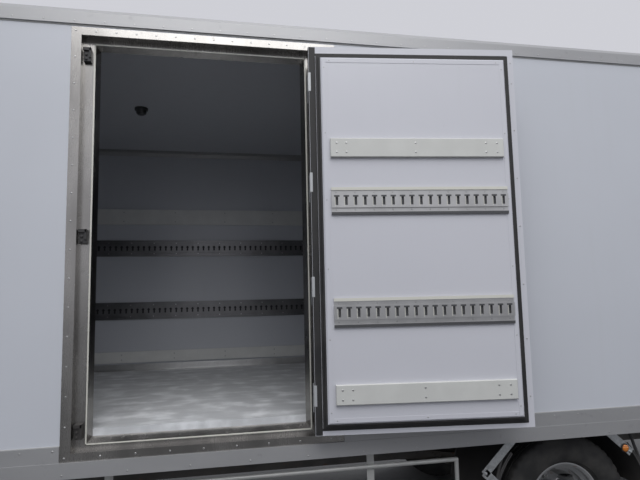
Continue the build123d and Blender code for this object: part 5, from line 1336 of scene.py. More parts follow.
@dataclass
class BoxOutside:
    """Rivets, grey sealing lines that under the top rail are also a painted shadow, and marker lamps on the
    body's rails and corners.
    """

    side: float = 1.245
    front: float = 0.700
    rear: float = 7.040
    rear_face: float = 7.100
    upper_step: tuple[float, float] = (0.889, 0.9635)
    upper_rail: tuple[float, float] = (3.098, 3.188)
    door: tuple[float, float] = (1.92, 3.324)
    marker_x: tuple[float, ...] = (1.10, 6.75)
    plant_side: float = 0.850
    louvres: int = 7
    rivet: Head = (0.0045, 0.0020, 8)
    cover_screw: Head = (0.0070, 0.0030, 12)

    def build(self) -> None:
        """Make what is fixed on the body's outside."""
        self._rivets()
        self._seal_and_shadow_lines()
        self._side_markers()
        self._corner_lamps()
        self._front_face()

    def _rivets(self) -> None:
        """Rivet the rails to the walls."""
        heads = Shape()
        start, end = self.front + 0.04, self.rear - 0.03
        corner, post = self.front + 0.028, self.rear + 0.030
        for side in Side:
            edge, upper, lower = (side.value * (self.side + proud) for proud in (0.006, 0.010, 0.014))
            spans = ((start, end),)
            if side is Side.LEFT:
                spans = ((start, self.door[0] - 0.03), (self.door[1] + 0.03, end))
            runs = [((start, upper, 3.118), (end, upper, 3.118), 0.15)]
            runs += [((x0, upper, 0.945), (x1, upper, 0.945), 0.15) for x0, x1 in spans]
            runs += [((start, lower, 0.833), (end, lower, 0.833), 0.30),
                     ((corner, edge, 1.02), (corner, edge, 3.06), 0.20),
                     ((post, upper, 0.90), (post, upper, 3.13), 0.25)]
            for first, last, pitch in runs:
                row(heads, first, last, pitch, side.out, self.rivet)
        heads.piece("body_rail_rivets", SCREW_STEEL, "chassis", "rail_metal")

    def _seal_and_shadow_lines(self) -> None:
        """Run a thin grey line of sealing compound where each wall meets its rails; under the top rail it is
        also the rail's painted shadow.
        """
        line = Shape()
        for side in Side:
            y0, y1 = side.span(self.side - 0.0005, self.side + 0.0030)
            start, rail, step = self.front + 0.05, self.upper_rail[0], self.upper_step[1]
            # Under the top rail the grey line is partly sealing compound and partly the rail's painted
            # shadow.
            line.block((start, y0, rail - 0.0045), (self.rear, y1, rail + 0.0005))
            spans = ((start, self.rear),)
            if side is Side.LEFT:
                spans = ((start, self.door[0] - 0.001), (self.door[1] + 0.001, self.rear))
            for x0, x1 in spans:
                line.block((x0, y0, step - 0.0005), (x1, y1, step + 0.0040))
        line.piece("body_sealant_and_shadow", SEALANT_AND_SHADOW, "chassis", "rail_metal", bevel=0.0012)

    def _side_markers(self) -> None:
        """Fix amber marker lamps in rubber holders along both lower rails."""
        holders, lenses = Shape(), Shape()
        for side in Side:
            face = side.value * (self.side + 0.014)
            for x in self.marker_x:
                seat = aimed((x, face, 0.858), side.out)
                holders.lathe([(0.030, -0.001), (0.030, 0.005), (0.026, 0.008), (0.022, 0.008)], 24, seat)
                lenses.lathe([(0.022, 0.004), (0.0215, 0.011), (0.017, 0.016), (0.008, 0.0185), (0.0, 0.019)],
                             24, seat)
        holders.piece("side_marker_holders", SEAL_BLACK, "chassis", "seal_rubber")
        lenses.piece("side_marker_lenses", LENS_AMBER, "chassis", "lamp_lens")

    def _corner_lamps(self) -> None:
        """Fix red lamps high on the rear header and clear ones on the front wall's corners."""
        holders, red, clear = Shape(), Shape(), Shape()
        for side in Side:
            for shape, x, y, z, out in ((red, self.rear_face, side.value * 1.13, 3.155, 1),
                                        (clear, self.front, side.value * 1.14, 3.140, -1)):
                x0, x1 = sorted((x - 0.0005 * out, x + 0.006 * out))
                holders.block((x0, y - 0.055, z - 0.018), (x1, y + 0.055, z + 0.018))
                seat = aimed((x + 0.005 * out, y, z), (out, 0, 0))
                level = abs((seat.to_3x3() @ Vector((0, 1, 0))).y) > 0.5
                stretch = Matrix.Diagonal((1.0, 2.6, 1.0, 1.0) if level else (2.6, 1.0, 1.0, 1.0))
                shape.lathe([(0.015, -0.002), (0.0148, 0.006), (0.011, 0.012), (0.0, 0.0135)], 24,
                            seat @ stretch)
        holders.piece("corner_lamp_holders", MOULDED_BLACK, "chassis", "mirror_shell", bevel=0.002)
        red.piece("corner_lamps_red", LENS_RED, "chassis", "lamp_lens")
        clear.piece("corner_lamps_clear", LENS_CLEAR, "chassis", "lamp_lens")

    def _front_face(self) -> None:
        """Give the cooling plant's cover a seam, screws, and louvres on its sides."""
        seam, louvres, heads = Shape(), Shape(), Shape()
        for side in Side:
            y0, y1 = side.span(self.plant_side, self.plant_side + 0.002)
            for step in range(self.louvres):
                z = 2.800 + step * 0.028
                louvres.block((0.470, y0, z), (0.640, y1, z + 0.013))
            for x in (0.44, 0.66):
                for z in (2.76, 3.03):
                    screw(heads, (x, side.value * self.plant_side, z), side.out, *self.cover_screw)
        seam.block((0.3492, -0.70, 2.9995), (0.352, 0.70, 3.0025))
        for y in (-0.62, -0.21, 0.21, 0.62):
            screw(heads, (0.350, y, 2.985), FORWARD, *self.cover_screw)
        seam.piece("plant_seam", SLOT_BLACK, "chassis", "plant_cover")
        louvres.piece("plant_louvres", MOULDED_BLACK, "chassis", "plant_cover", bevel=0.0015)
        heads.piece("plant_screws", SCREW_STEEL, "chassis", "plant_cover")


@dataclass
class RearDoors:
    """Seals, fittings, lamps and blank plate at the truck's rear."""

    face: float = 7.176
    leaf: tuple[float, float, float, float] = (0.007, 1.225, 0.905, 3.135)
    hinge_levels: tuple[float, ...] = (1.060, 1.600, 2.400, 2.960)
    rod: tuple[float, float] = (0.180, 7.194)
    rod_levels: tuple[float, ...] = (0.965, 1.480, 2.250, 3.075)
    rod_screw: Head = (0.0050, 0.0020, 10)
    edge_screw: Head = (0.0042, 0.0018, 8)

    def build(self) -> None:
        """Make the fittings of the two leaves and the rear end."""
        for side in Side:
            self._leaf(side)
        self._rear_end()

    def _frame(self, shape: Shape, side: Side, edges: tuple[float, float, float, float], wide: float,
               depth: tuple[float, float]) -> None:
        """Add a frame of four flat bars that lies on a leaf.

        Args:
            shape: the shape that gathers it.
            side: the leaf's side.
            edges: its distances from the truck's middle line, its foot and its head.
            wide: a bar's width.
            depth: the bars' low and high X.
        """
        near, far, foot, head = edges
        for low, high, z0, z1 in ((near, near + wide, foot, head), (far - wide, far, foot, head),
                                  (near + wide, far - wide, foot, foot + wide),
                                  (near + wide, far - wide, head - wide, head)):
            y0, y1 = side.span(low, high)
            shape.block((depth[0], y0, z0), (depth[1], y1, z1))

    def _leaf(self, side: Side) -> None:
        """Seal one leaf and bolt its straps and lock down.

        Args:
            side: the leaf's side.
        """
        body = "rear_door_" + side.word
        y0, y1, z0, z1 = self.leaf
        seal, heads, edging, grip = Shape(), Shape(), Shape(), Shape()
        sign, proud = side.value, self.face + 0.0018
        self._frame(seal, side, (y0 + 0.004, y1 - 0.010, z0 + 0.006, z1 - 0.006), 0.014, (7.1005, 7.1065))
        near, far = side.span(-0.0035 if side is Side.RIGHT else 0.0035, y0 + 0.004)
        seal.block((7.150, near, z0 + 0.01), (7.166, far, z1 - 0.01))
        seal.piece("rear_seal_" + side.word, SEAL_BLACK, body, "seal_rubber", bevel=0.0012)
        self._frame(edging, side, (y0 + 0.008, y1 - 0.008, z0 + 0.01, z1 - 0.01), 0.022,
                    (self.face - 0.0005, proud))
        edging.piece("rear_edging_" + side.word, RAIL_GREY, body, "rail_metal", bevel=0.0006)
        for level in self.hinge_levels:
            for reach in (0.985, 1.050, 1.115):
                bolt(heads, (self.face + 0.009, sign * reach, level), BACKWARD, 0.013)
        for level in self.rod_levels:
            for step in (-0.022, 0.022):
                spot = (self.rod[1] + 0.004, sign * (self.rod[0] + step), level)
                screw(heads, spot, BACKWARD, *self.rod_screw)
        for y in (sign * (y0 + 0.019), sign * (y1 - 0.019)):
            row(heads, (proud, y, z0 + 0.06), (proud, y, z1 - 0.06), 0.20, BACKWARD, self.edge_screw)
        heads.piece("rear_bolts_" + side.word, DULL_ZINC, body, "galvanised")
        path = [(self.rod[1] + 0.016, sign * y, 1.346) for y in (0.40, 0.44, 0.48, 0.505)]
        grip.tube(path, 0.011, 12)
        grip.piece("rear_grip_" + side.word, MOULDED_BLACK, body, "mirror_shell")

    def _rear_end(self) -> None:
        """Lay out the tail lamps' lenses, the reflectors and the plate."""
        red, amber, clear, frames = Shape(), Shape(), Shape(), Shape()
        for side in Side:
            sign = side.value
            for shape, low, high in ((red, 0.770, 0.880), (amber, 0.885, 0.965), (clear, 0.970, 1.025),
                                     (red, 1.030, 1.120)):
                y0, y1 = side.span(low, high)
                shape.block((7.0915, y0, 0.630), (7.0965, y1, 0.730))
            triangle = [(-0.0375, -0.0215), (0.0375, -0.0215), (0.0, 0.0435)]
            seat = Matrix.Translation((7.081, sign * 0.62, 0.455)) @ END_VIEW
            red.prism(triangle, -0.0005, 0.004, seat)
            bolt(frames, (7.080, sign * 0.46, 0.455), BACKWARD, 0.016)
        red.piece("tail_lenses_red", LENS_RED, "chassis", "lamp_lens", bevel=0.0012)
        amber.piece("tail_lenses_amber", LENS_AMBER, "chassis", "lamp_lens", bevel=0.0012)
        clear.piece("tail_lenses_clear", LENS_CLEAR, "chassis", "lamp_lens", bevel=0.0012)
        frames.block((7.0795, -0.175, 0.415), (7.0830, 0.175, 0.497))
        frames.piece("rear_plate_holder", MOULDED_BLACK, "chassis", "mirror_shell", bevel=0.001)
        plate = Shape()
        plate.block((7.0828, -0.165, 0.423), (7.0850, 0.165, 0.489))
        plate.piece("rear_plate_blank", PLATE_BLANK, "chassis", "rail_metal", bevel=0.0008)


# Wheels

@dataclass
class Tyre:
    """One treaded tyre: crowned sidewalls, four grooves round it and notched shoulders."""

    radius: float = 0.400
    bead_radius: float = 0.222
    bead_half: float = 0.072
    flange: float = 0.235
    groove: float = 0.011
    notch: float = 0.007
    steps: int = 180

    def profile(self, notched: bool) -> list[tuple[float, float]]:
        """Half section as (radius, distance from the middle plane), from the tread's middle to the bead.

        Args:
            notched: whether the section cuts through a shoulder notch.

        Returns:
            The points.
        """
        top, deep = self.radius, self.radius - self.groove
        drop = self.notch if notched else 0.0
        rib = 0.003 if notched else 0.0
        return [(top, 0.0), (top - rib, 0.0125), (deep, 0.0150), (deep, 0.0205), (top - rib, 0.0230),
                (top, 0.0320), (top - rib, 0.0455), (deep, 0.0480), (deep, 0.0535), (top - rib, 0.0560),
                (top - 0.001, 0.0680), (top - 0.002 - drop, 0.0830), (top - 0.0055 - drop, 0.0920),
                (self.radius - 0.013 - drop * 0.8, 0.0985), (self.radius - 0.027 - drop * 0.4, 0.1035),
                (0.362, 0.1062), (0.350, 0.1088), (0.346, 0.1100), (0.338, 0.1103), (0.334, 0.1108),
                (0.316, 0.1122), (0.300, 0.1120), (0.284, 0.1104), (0.268, 0.1066), (0.2565, 0.1010),
                (0.2520, 0.0992), (0.2480, 0.0935), (0.2405, 0.0835), (self.flange, 0.0780),
                (self.bead_radius, self.bead_half)]

    def add_to(self, shape: Shape, place: Matrix) -> None:
        """Add the tyre to a shape.

        Args:
            shape: the shape that gathers it.
            place: where the tyre goes; its axle is the local Z.
        """
        sections = [self.profile(False), self.profile(True)]
        count = 2 * len(sections[0]) - 1
        points: list[tuple[float, float, float]] = []
        for step in range(self.steps):
            half = sections[step % 4 == 0]
            ring = [(r, -w) for r, w in reversed(half)] + half[1:]
            angle = math.tau * step / self.steps
            points += [(r * math.cos(angle), r * math.sin(angle), w) for r, w in ring]
        faces = []
        for step in range(self.steps):
            here, there = step * count, (step + 1) % self.steps * count
            faces += [(here + k, there + k, there + k + 1, here + k + 1) for k in range(count - 1)]
            faces.append((here + count - 1, there + count - 1, there, here))
        shape.add(points, faces, place)


@dataclass
class Wheels:
    """Tyres, nuts, valves and hub caps of the six wheels."""

    wheelbase: float = 4.700
    level: float = 0.400
    front_mid: float = 0.978
    rear_mids: tuple[float, float] = (0.776, 1.038)
    front_seat: float = 1.109
    rear_seat: float = 0.917
    front_cap: float = 1.147
    rear_cap: float = 1.011
    stud_ring: float = 0.111
    studs: int = 6
    cap_ring: float = 0.0415
    cap_bolts: int = 8

    def build(self) -> None:
        """Make the tyres and the small pieces of each wheel."""
        for side in Side:
            self._wheel(side, "front_wheel_" + side.word, 0.0, (self.front_mid,), "tyre_front_" + side.word,
                        self.front_seat, self.front_cap)
            self._wheel(side, "rear_wheels_" + side.word, self.wheelbase, self.rear_mids,
                        "tyres_rear_" + side.word, self.rear_seat, self.rear_cap)

    def _wheel(self, side: Side, body: str, x: float, mids: Sequence[float], node: str, seat: float,
               cap: float) -> None:
        """Dress one wheel.

        Args:
            side: the wheel's side.
            body: the body that it is.
            x: where its axle is.
            mids: the middle planes of its tyres.
            node: the solid tyre that its treaded tyre stands for.
            seat: where the nuts sit.
            cap: the hub's outer face.
        """
        sign, out = side.value, side.out
        tyres = Shape()
        for mid in mids:
            Tyre().add_to(tyres, aimed((x, sign * mid, self.level), out))
        treaded = tyres.piece("treaded_" + node, TYRE_BLACK, body, "tyre_rubber", crease=28.0)
        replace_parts(treaded, node)
        nuts, hub = Shape(), Shape()
        for turn in range(self.studs):
            angle = math.tau * (turn + 0.5) / self.studs
            point = (x + self.stud_ring * math.cos(angle), sign * seat,
                     self.level - self.stud_ring * math.sin(angle))
            place = aimed(point, out)
            nuts.lathe([(0.0245, -0.0005), (0.0245, 0.004), (0.0225, 0.005), (0.0, 0.005)], 18, place)
            nuts.lathe([(0.0190, 0.003), (0.0190, 0.017), (0.0165, 0.020), (0.0118, 0.020)], 6, place)
        nuts.piece("wheel_nuts_" + body, SCREW_STEEL, body, "rim_steel")
        centre = aimed((x, sign * cap, self.level), out)
        if len(mids) == 1:
            hub.lathe([(0.047, -0.001), (0.047, 0.006), (0.044, 0.009), (0.040, 0.0185), (0.030, 0.023),
                       (0.0, 0.0245)], 32, centre)
        else:
            hub.lathe([(0.052, -0.001), (0.052, 0.006), (0.049, 0.008), (0.030, 0.008), (0.028, 0.013),
                       (0.0, 0.014)], 32, centre)
            for along, up in arc(self.cap_ring, 0.0, math.tau, self.cap_bolts)[:-1]:
                bolt(hub, (x + along, sign * (cap + 0.007), self.level + up), out, 0.011)
        hub.piece("hub_cap_" + body, RIM_GREY, body, "rim_steel")
        valve = Shape()
        root = seat - 0.045 if len(mids) == 1 else seat + 0.070
        stem = ((0.176, 0.0), (0.176, 0.030), (0.170, 0.050))
        valve.tube([(x + off, sign * (root + rise), self.level + 0.02) for off, rise in stem], 0.0042, 10)
        valve.piece("valve_" + body, MOULDED_BLACK, body, "mirror_shell")


# Chassis

@dataclass
class Chassis:
    """Bolts, spring clips, tank straps and small lamps under the body."""

    web: float = 0.420
    members: tuple[float, ...] = (-0.84, 1.25, 2.15, 3.10, 4.05, 5.45, 6.25, 6.965)
    sill_plates: tuple[float, ...] = (1.6, 2.6, 3.6, 5.6, 6.6)
    plate_thick: float = 0.006
    front_clip: tuple[float, ...] = (0.0, 0.420, 0.052, 0.276, 0.4365)
    rear_clip: tuple[float, ...] = (4.7, 0.505, 0.068, 0.326, 0.5455)
    clip_radius: float = 0.007
    clip_half: float = 0.042
    tank: tuple[float, float, float, float, float] = (0.500, 1.080, 0.390, 0.730, 0.070)
    straps: tuple[float, ...] = (1.760, 2.050, 2.340)
    battery: tuple[float, ...] = (1.010, 1.490, -1.048, 0.430, 0.720)
    stays: tuple[tuple[tuple[float, float], ...], ...] = (((4.352, 0.836), (4.150, 0.644), (4.218, 0.580)),
                                                          ((4.919, 0.848), (5.095, 0.694)))
    stay_plane: float = 1.1995
    stay_lamp: tuple[float, float] = (5.057, 0.718)
    rear_axle: tuple[float, float] = (4.7, 0.4)

    def build(self) -> None:
        """Make the small pieces of the chassis."""
        self._bolts()
        self._clips()
        self._tank()
        self._battery()
        self._stay_lamps()

    def _bolts(self) -> None:
        """Bolt the cross members and the sills to the rails."""
        heads = Shape()
        for side in Side:
            outer = self.web + self.plate_thick
            y0, y1 = side.span(self.web, outer)
            for x in self.members:
                for step in (-0.022, 0.022):
                    for z in (0.655, 0.700):
                        bolt(heads, (x + step, side.value * self.web, z), side.out, 0.016)
            for x in self.sill_plates:
                heads.block((x - 0.035, y0, 0.600), (x + 0.035, y1, 0.800))
                for z in (0.630, 0.700, 0.775):
                    bolt(heads, (x, side.value * outer, z), side.out, 0.016)
        heads.piece("rail_bolts", FRAME_BLACK, "chassis", "chassis_black")

    def _clips(self) -> None:
        """Bend the U-bolts that clamp the springs to the axles."""
        clips = Shape()
        for x, y, half, low, top in (self.front_clip, self.rear_clip):
            for side in Side:
                middle = side.value * y
                legs = (middle - self.clip_half, middle + self.clip_half)
                for place in (x - half, x + half):
                    over = [(place, middle + self.clip_half * a, top - 0.010 + 0.016 * b)
                            for a, b in arc(1.0, 0.0, math.pi, 8)]
                    clips.tube([(place, legs[1], low)] + over + [(place, legs[0], low)], self.clip_radius, 8)
                    for leg in legs:
                        bolt(clips, (place, leg, low + 0.014), (0, 0, -1), 0.018)
        clips.piece("spring_clips", SPRING_BLACK, "chassis", "spring_steel")

    def _tank_section(self, grow: float) -> list[tuple[float, float]]:
        """The fuel tank's rounded section.

        Args:
            grow: how far it is grown outwards.

        Returns:
            Its (y, z) points.
        """
        y0, y1, z0, z1, corner = self.tank
        centres = ((y1 - corner, z1 - corner), (y0 + corner, z1 - corner), (y0 + corner, z0 + corner),
                   (y1 - corner, z0 + corner))
        quarter = math.pi / 2
        return [(cy + a, cz + b) for turn, (cy, cz) in enumerate(centres)
                for a, b in arc(corner + grow, quarter * turn, quarter * (turn + 1), 6)]

    def _tank(self) -> None:
        """Strap the fuel tank, and cap its filler."""
        bands = Shape()
        inner, outer = self._tank_section(-0.0005), self._tank_section(0.0035)
        count = len(inner)
        for x in self.straps:
            points = [(face, y, z) for face in (x - 0.022, x + 0.022)
                      for ring in (inner, outer) for y, z in ring]
            faces = []
            for k in range(count):
                n = (k + 1) % count
                faces += [(k, n, count + n, count + k),
                          (2 * count + k, 3 * count + k, 3 * count + n, 2 * count + n),
                          (count + k, count + n, 3 * count + n, 3 * count + k)]
            bands.add(points, faces)
        bands.piece("tank_straps", DULL_ZINC, "chassis", "galvanised")
        cap = Shape()
        seat = aimed((1.690, 1.1035, 0.6985), (0.0, 0.085, 0.060))
        cap.lathe([(0.046, -0.012), (0.047, 0.006), (0.043, 0.014), (0.030, 0.016), (0.0, 0.016)], 28, seat)
        cap.block((-0.034, -0.006, 0.015), (0.034, 0.006, 0.026), seat)
        cap.piece("tank_cap", MOULDED_BLACK, "chassis", "mirror_shell", bevel=0.0015)

    def _battery(self) -> None:
        """Latch the battery box's lid and give it a tread on top."""
        x0, x1, face, _, top = self.battery
        latches, tread = Shape(), Shape()
        for x in (x0 + 0.11, x1 - 0.11):
            latches.block((x - 0.016, face - 0.008, top - 0.120), (x + 0.016, face + 0.001, top - 0.045))
            bow = ((-0.014, 0.010, 0.110), (-0.014, 0.013, 0.060), (0.014, 0.013, 0.060),
                   (0.014, 0.010, 0.110))
            latches.tube([(x + off, face - proud, top - drop) for off, proud, drop in bow], 0.003, 8)
        for step in range(9):
            y = face + 0.045 + step * 0.048
            tread.block((x0 + 0.04, y, top - 0.0005), (x1 - 0.04, y + 0.014, top + 0.004))
        latches.piece("battery_latches", DULL_ZINC, "chassis", "galvanised", bevel=0.0008)
        tread.piece("battery_tread", MOULDED_BLACK, "chassis", "mirror_shell", bevel=0.0012)

    def _stay_lamps(self) -> None:
        """Fix flat stays from the body to the rear flaps, an amber lamp on each, and edge the flaps."""
        holders, lenses, edging, bars = Shape(), Shape(), Shape(), Shape()
        middle, level = self.rear_axle
        for side in Side:
            proud = side.value * (self.stay_plane + 0.006)
            for points in self.stays:
                for (x0, z0), (x1, z1) in zip(points, points[1:]):
                    run = Vector((x1 - x0, 0.0, z1 - z0))
                    place = aimed((x0, side.value * self.stay_plane, z0), side.out)
                    local = place.to_3x3().inverted() @ run
                    turn = place @ Matrix.Rotation(math.atan2(local.y, local.x), 4, "Z")
                    bars.block((-0.010, -0.023, 0.0), (run.length + 0.010, 0.023, 0.006), turn)
            x, z = self.stay_lamp
            seat = aimed((x, proud, z), side.out)
            holders.lathe([(0.024, -0.001), (0.026, 0.002), (0.026, 0.006), (0.021, 0.007)], 20, seat)
            lenses.lathe([(0.021, 0.003), (0.020, 0.011), (0.013, 0.016), (0.0, 0.0175)], 20, seat)
            for x, z in (points[1] for points in self.stays):
                bolt(bars, (x, proud, z), side.out, 0.014)
            for low, high in ((8, 42), (138, 174)):
                for radius in (0.5045, 0.5155):
                    path = arc(radius, math.radians(low), math.radians(high), 10)
                    for edge in (0.652, 1.198):
                        edging.tube([(middle + a, side.value * edge, level + b) for a, b in path], 0.004, 6)
        holders.piece("stay_lamp_holders", SEAL_BLACK, "chassis", "seal_rubber")
        lenses.piece("stay_lamp_lenses", LENS_AMBER, "chassis", "lamp_lens")
        edging.piece("flap_edging", MOULDED_BLACK, "chassis", "mirror_shell")
        bars.piece("flat_stays", DULL_ZINC, "chassis", "galvanised", bevel=0.0012)


# Cab

SCREEN_PLANE = Matrix(((0.0, 0.2796, -0.9601, -1.25), (-1.0, 0.0, 0.0, 0.0), (0.0, 0.9601, 0.2796, 1.42),
                       (0.0, 0.0, 0.0, 1.0)))


def ring_of_bars(shape: Shape, outer: Sequence[tuple[float, float]], inner: Sequence[tuple[float, float]],
                 low: float, high: float, place: Matrix) -> None:
    """Add a closed frame between two outlines with as many corners.

    Args:
        shape: the shape that gathers it.
        outer: the outer outline's (x, y) corners.
        inner: the inner outline's corners, in the same order.
        low: the frame's lower height.
        high: its upper height.
        place: where it goes.
    """
    for k in range(len(outer)):
        n = (k + 1) % len(outer)
        shape.prism([outer[k], outer[n], inner[n], inner[k]], low, high, place)


@dataclass
class CabOutside:
    """Seals, wipers, handles, mirrors' glass, lamps and plate of the cab's outside."""

    screen: tuple[float, float] = (0.930, 0.9166)
    side: float = 1.130
    window: tuple[tuple[float, float], ...] = ((-0.885, 1.440), (-0.735, 2.190), (0.255, 2.190),
                                               (0.255, 1.440))
    seal: float = 0.020
    wiper_pivots: tuple[float, ...] = (0.62, -0.10)
    lamp: tuple[float, float, float, float] = (0.700, 1.010, 0.390, 0.505)
    lamp_face: float = -1.334
    bumper_face: float = -1.330
    lid_face: tuple[float, float] = (-1.2512, -1.2494)
    grab: tuple[tuple[float, float], ...] = ((0.0, 1.20), (0.030, 1.215), (0.034, 1.26), (0.034, 1.80),
                                             (0.030, 1.845), (0.0, 1.86))

    def build(self) -> None:
        """Make the cab's outer pieces."""
        self._screen()
        for side in Side:
            self._door(side)
        self._front()
        self._head_lamps()
        self._mirrors()
        self._steps()

    def _screen(self) -> None:
        """Seal the windscreen and park two wipers on it."""
        half, top = self.screen
        rubber, arms, blades = Shape(), Shape(), Shape()
        wide, narrow = half + self.seal, half - 0.014
        outer = corners(-wide, wide, 0.001, top + 0.016)
        inner = corners(-narrow, narrow, 0.020, top - 0.016)
        ring_of_bars(rubber, outer, inner, -0.0125, 0.0035, SCREEN_PLANE)
        rubber.piece("screen_seal", SEAL_BLACK, "cab", "seal_rubber", bevel=0.002)
        for pivot in self.wiper_pivots:
            path = [(pivot, 0.010, 0.002), (pivot, 0.012, 0.016), (pivot - 0.10, 0.030, 0.018),
                    (pivot - 0.30, 0.062, 0.008)]
            arms.tube([SCREEN_PLANE @ Vector(point) for point in path], 0.0055, 8)
            arms.lathe([(0.014, -0.002), (0.014, 0.018), (0.010, 0.022), (0.0, 0.022)], 16,
                       SCREEN_PLANE @ Matrix.Translation((pivot, 0.011, 0.0)))
            slant = (SCREEN_PLANE @ Matrix.Translation((pivot - 0.30, 0.062, 0.0))
                     @ Matrix.Rotation(-0.05, 4, "Z"))
            blades.block((-0.270, -0.004, -0.0115), (0.270, 0.004, 0.004), slant)
            blades.block((-0.140, -0.007, 0.003), (0.140, 0.007, 0.009), slant)
        arms.piece("wiper_arms", MOULDED_BLACK, "cab", "mirror_shell")
        blades.piece("wiper_blades", SEAL_BLACK, "cab", "seal_rubber", bevel=0.0012)

    def _door(self, side: Side) -> None:
        """Seal a door's window, and fit its handle and lock.

        Args:
            side: the door's side.
        """
        body = "cab_door_" + side.word
        turn = Matrix.Diagonal((1, side.value, 1, 1)) @ SIDE_VIEW
        rubber, handle = Shape(), Shape()
        grow, shrink = 0.013, 0.009
        steps = ((-1, -1), (-1, 1), (1, 1), (1, -1))
        outer = [(x + grow * a, z + grow * b) for (x, z), (a, b) in zip(self.window, steps)]
        inner = [(x - shrink * a, z - shrink * b) for (x, z), (a, b) in zip(self.window, steps)]
        ring_of_bars(rubber, outer, inner, self.side - 0.0125, self.side + 0.0028, turn)
        rubber.block((-0.30, 1.440, self.side - 0.0120), (-0.275, 2.190, self.side - 0.0060), turn)
        rubber.piece("window_seal_" + side.word, SEAL_BLACK, body, "seal_rubber", bevel=0.0012)
        handle.block((0.085, 1.288, self.side - 0.001), (0.255, 1.352, self.side + 0.0035), turn)
        handle.block((0.100, 1.312, self.side + 0.010), (0.240, 1.338, self.side + 0.021), turn)
        for x in (0.100, 0.224):
            handle.block((x, 1.312, self.side + 0.002), (x + 0.016, 1.338, self.side + 0.012), turn)
        handle.lathe([(0.010, -0.001), (0.010, 0.005), (0.004, 0.006), (0.0, 0.004)], 16,
                     turn @ Matrix.Translation((0.17, 1.300, self.side + 0.003)))
        handle.piece("door_handle_" + side.word, MOULDED_BLACK, body, "mirror_shell", bevel=0.003)

    def _front(self) -> None:
        """Cut the front lid's seam, fix the corner lamps and the blank plate, and add the grab handles."""
        seam, amber, holder, plate, grab = Shape(), Shape(), Shape(), Shape(), Shape()
        x0, x1 = self.lid_face
        for z in (1.3480, 0.9480):
            seam.block((x0, -0.96, z), (x1, 0.96, z + 0.0035))
        for y in (-0.9617, 0.9583):
            seam.block((x0, y, 0.9480), (x1, y + 0.0034, 1.3515))
        seam.piece("front_seams", SLOT_BLACK, "cab", "cab_paint")
        for side in Side:
            y0, y1 = side.span(0.80, 0.96)
            holder.block((-1.2545, y0 - 0.006, 0.694), (-1.2490, y1 + 0.006, 0.796))
            amber.block((-1.2630, y0, 0.700), (-1.2530, y1, 0.790))
            grab.tube([(0.43, side.value * (self.side + off), z) for off, z in self.grab], 0.011, 12)
        bow = ((-1.250, -0.090), (-1.283, -0.086), (-1.286, 0.0), (-1.283, 0.086), (-1.250, 0.090))
        for y in (-0.40, 0.40):
            grab.tube([(x, y + off, 1.300) for x, off in bow], 0.009, 10)
        holder.piece("corner_indicator_holders", MOULDED_BLACK, "cab", "mirror_shell", bevel=0.002)
        amber.piece("corner_indicators", LENS_AMBER, "cab", "lamp_lens", bevel=0.004)
        grab.piece("cab_grab_handles", MOULDED_BLACK, "cab", "mirror_shell")
        plate.block((self.bumper_face - 0.0060, -0.165, 0.410), (self.bumper_face + 0.0005, 0.165, 0.490))
        plate.piece("front_plate_blank", PLATE_BLANK, "chassis", "rail_metal", bevel=0.0012)

    def _head_lamps(self) -> None:
        """Give each head lamp a bezel, two chromed bowls, their bulbs and an amber end."""
        y0, y1, z0, z1 = self.lamp
        bezel, bowls, amber = Shape(), Shape(), Shape()
        middle = (z0 + z1) / 2
        for side in Side:
            turn = Matrix(((0, 0, -1, self.lamp_face), (side.value, 0, 0, 0), (0, 1, 0, 0), (0, 0, 0, 1)))
            outer, inner = (corners(y0 + inset, y1 - inset, z0 + inset, z1 - inset)
                            for inset in (0.0008, 0.008))
            ring_of_bars(bezel, outer, inner, -0.002, 0.0022, turn)
            amber.block((y1 - 0.062, z0 + 0.010, -0.001), (y1 - 0.010, z1 - 0.010, 0.0045), turn)
            for centre in (y0 + 0.066, y0 + 0.178):
                seat = turn @ Matrix.Translation((centre, middle, 0.0))
                bowls.lathe([(0.0475, -0.001), (0.0475, 0.0035), (0.0445, 0.0040), (0.0400, 0.0012),
                             (0.0180, 0.0006), (0.0170, 0.0035), (0.0120, 0.0070), (0.0, 0.0080)], 32, seat)
        bezel.piece("head_lamp_bezels", MOULDED_BLACK, "chassis", "mirror_shell", bevel=0.0008)
        bowls.piece("head_lamp_bowls", BOWL_CHROME, "chassis", "lamp_lens")
        amber.piece("head_lamp_indicators", LENS_AMBER, "chassis", "lamp_lens", bevel=0.0015)

    def _mirrors(self) -> None:
        """Set the glass of the two mirrors: a long pane over a small curved one."""
        panes = Shape()
        cells = 8
        for side in Side:
            y0, y1 = side.span(1.242, 1.378)
            for low, high, bulge in ((1.775, 1.985, 0.002), (1.665, 1.762, 0.006)):
                grid = []
                for a in range(cells + 1):
                    for b in range(cells + 1):
                        u, v = 2 * a / cells - 1, 2 * b / cells - 1
                        rise = 0.0012 + bulge * (1 - u * u) * (1 - v * v)
                        y, z = y0 + (y1 - y0) * a / cells, low + (high - low) * b / cells
                        grid.append((-1.075 + rise, y, z))
                panes.add(grid, grid_faces(cells))
                panes.block((-1.0755, y0, low), (-1.0738, y1, high))
        panes.piece("mirror_panes", MIRROR_FACE, "cab", "glass")

    def _steps(self) -> None:
        """Lay ribbed treads in the entry steps."""
        treads = Shape()
        for side in Side:
            y0, y1 = side.span(0.975, 1.126)
            treads.block((-0.943, y0, 0.6395), (-0.642, y1, 0.6430))
            for step in range(7):
                near = y0 + 0.008 + step * 0.0205
                treads.block((-0.935, near, 0.6425), (-0.650, near + 0.009, 0.6475))
        treads.piece("step_treads", BRIGHT_ZINC, "cab", "rail_metal", bevel=0.0012)


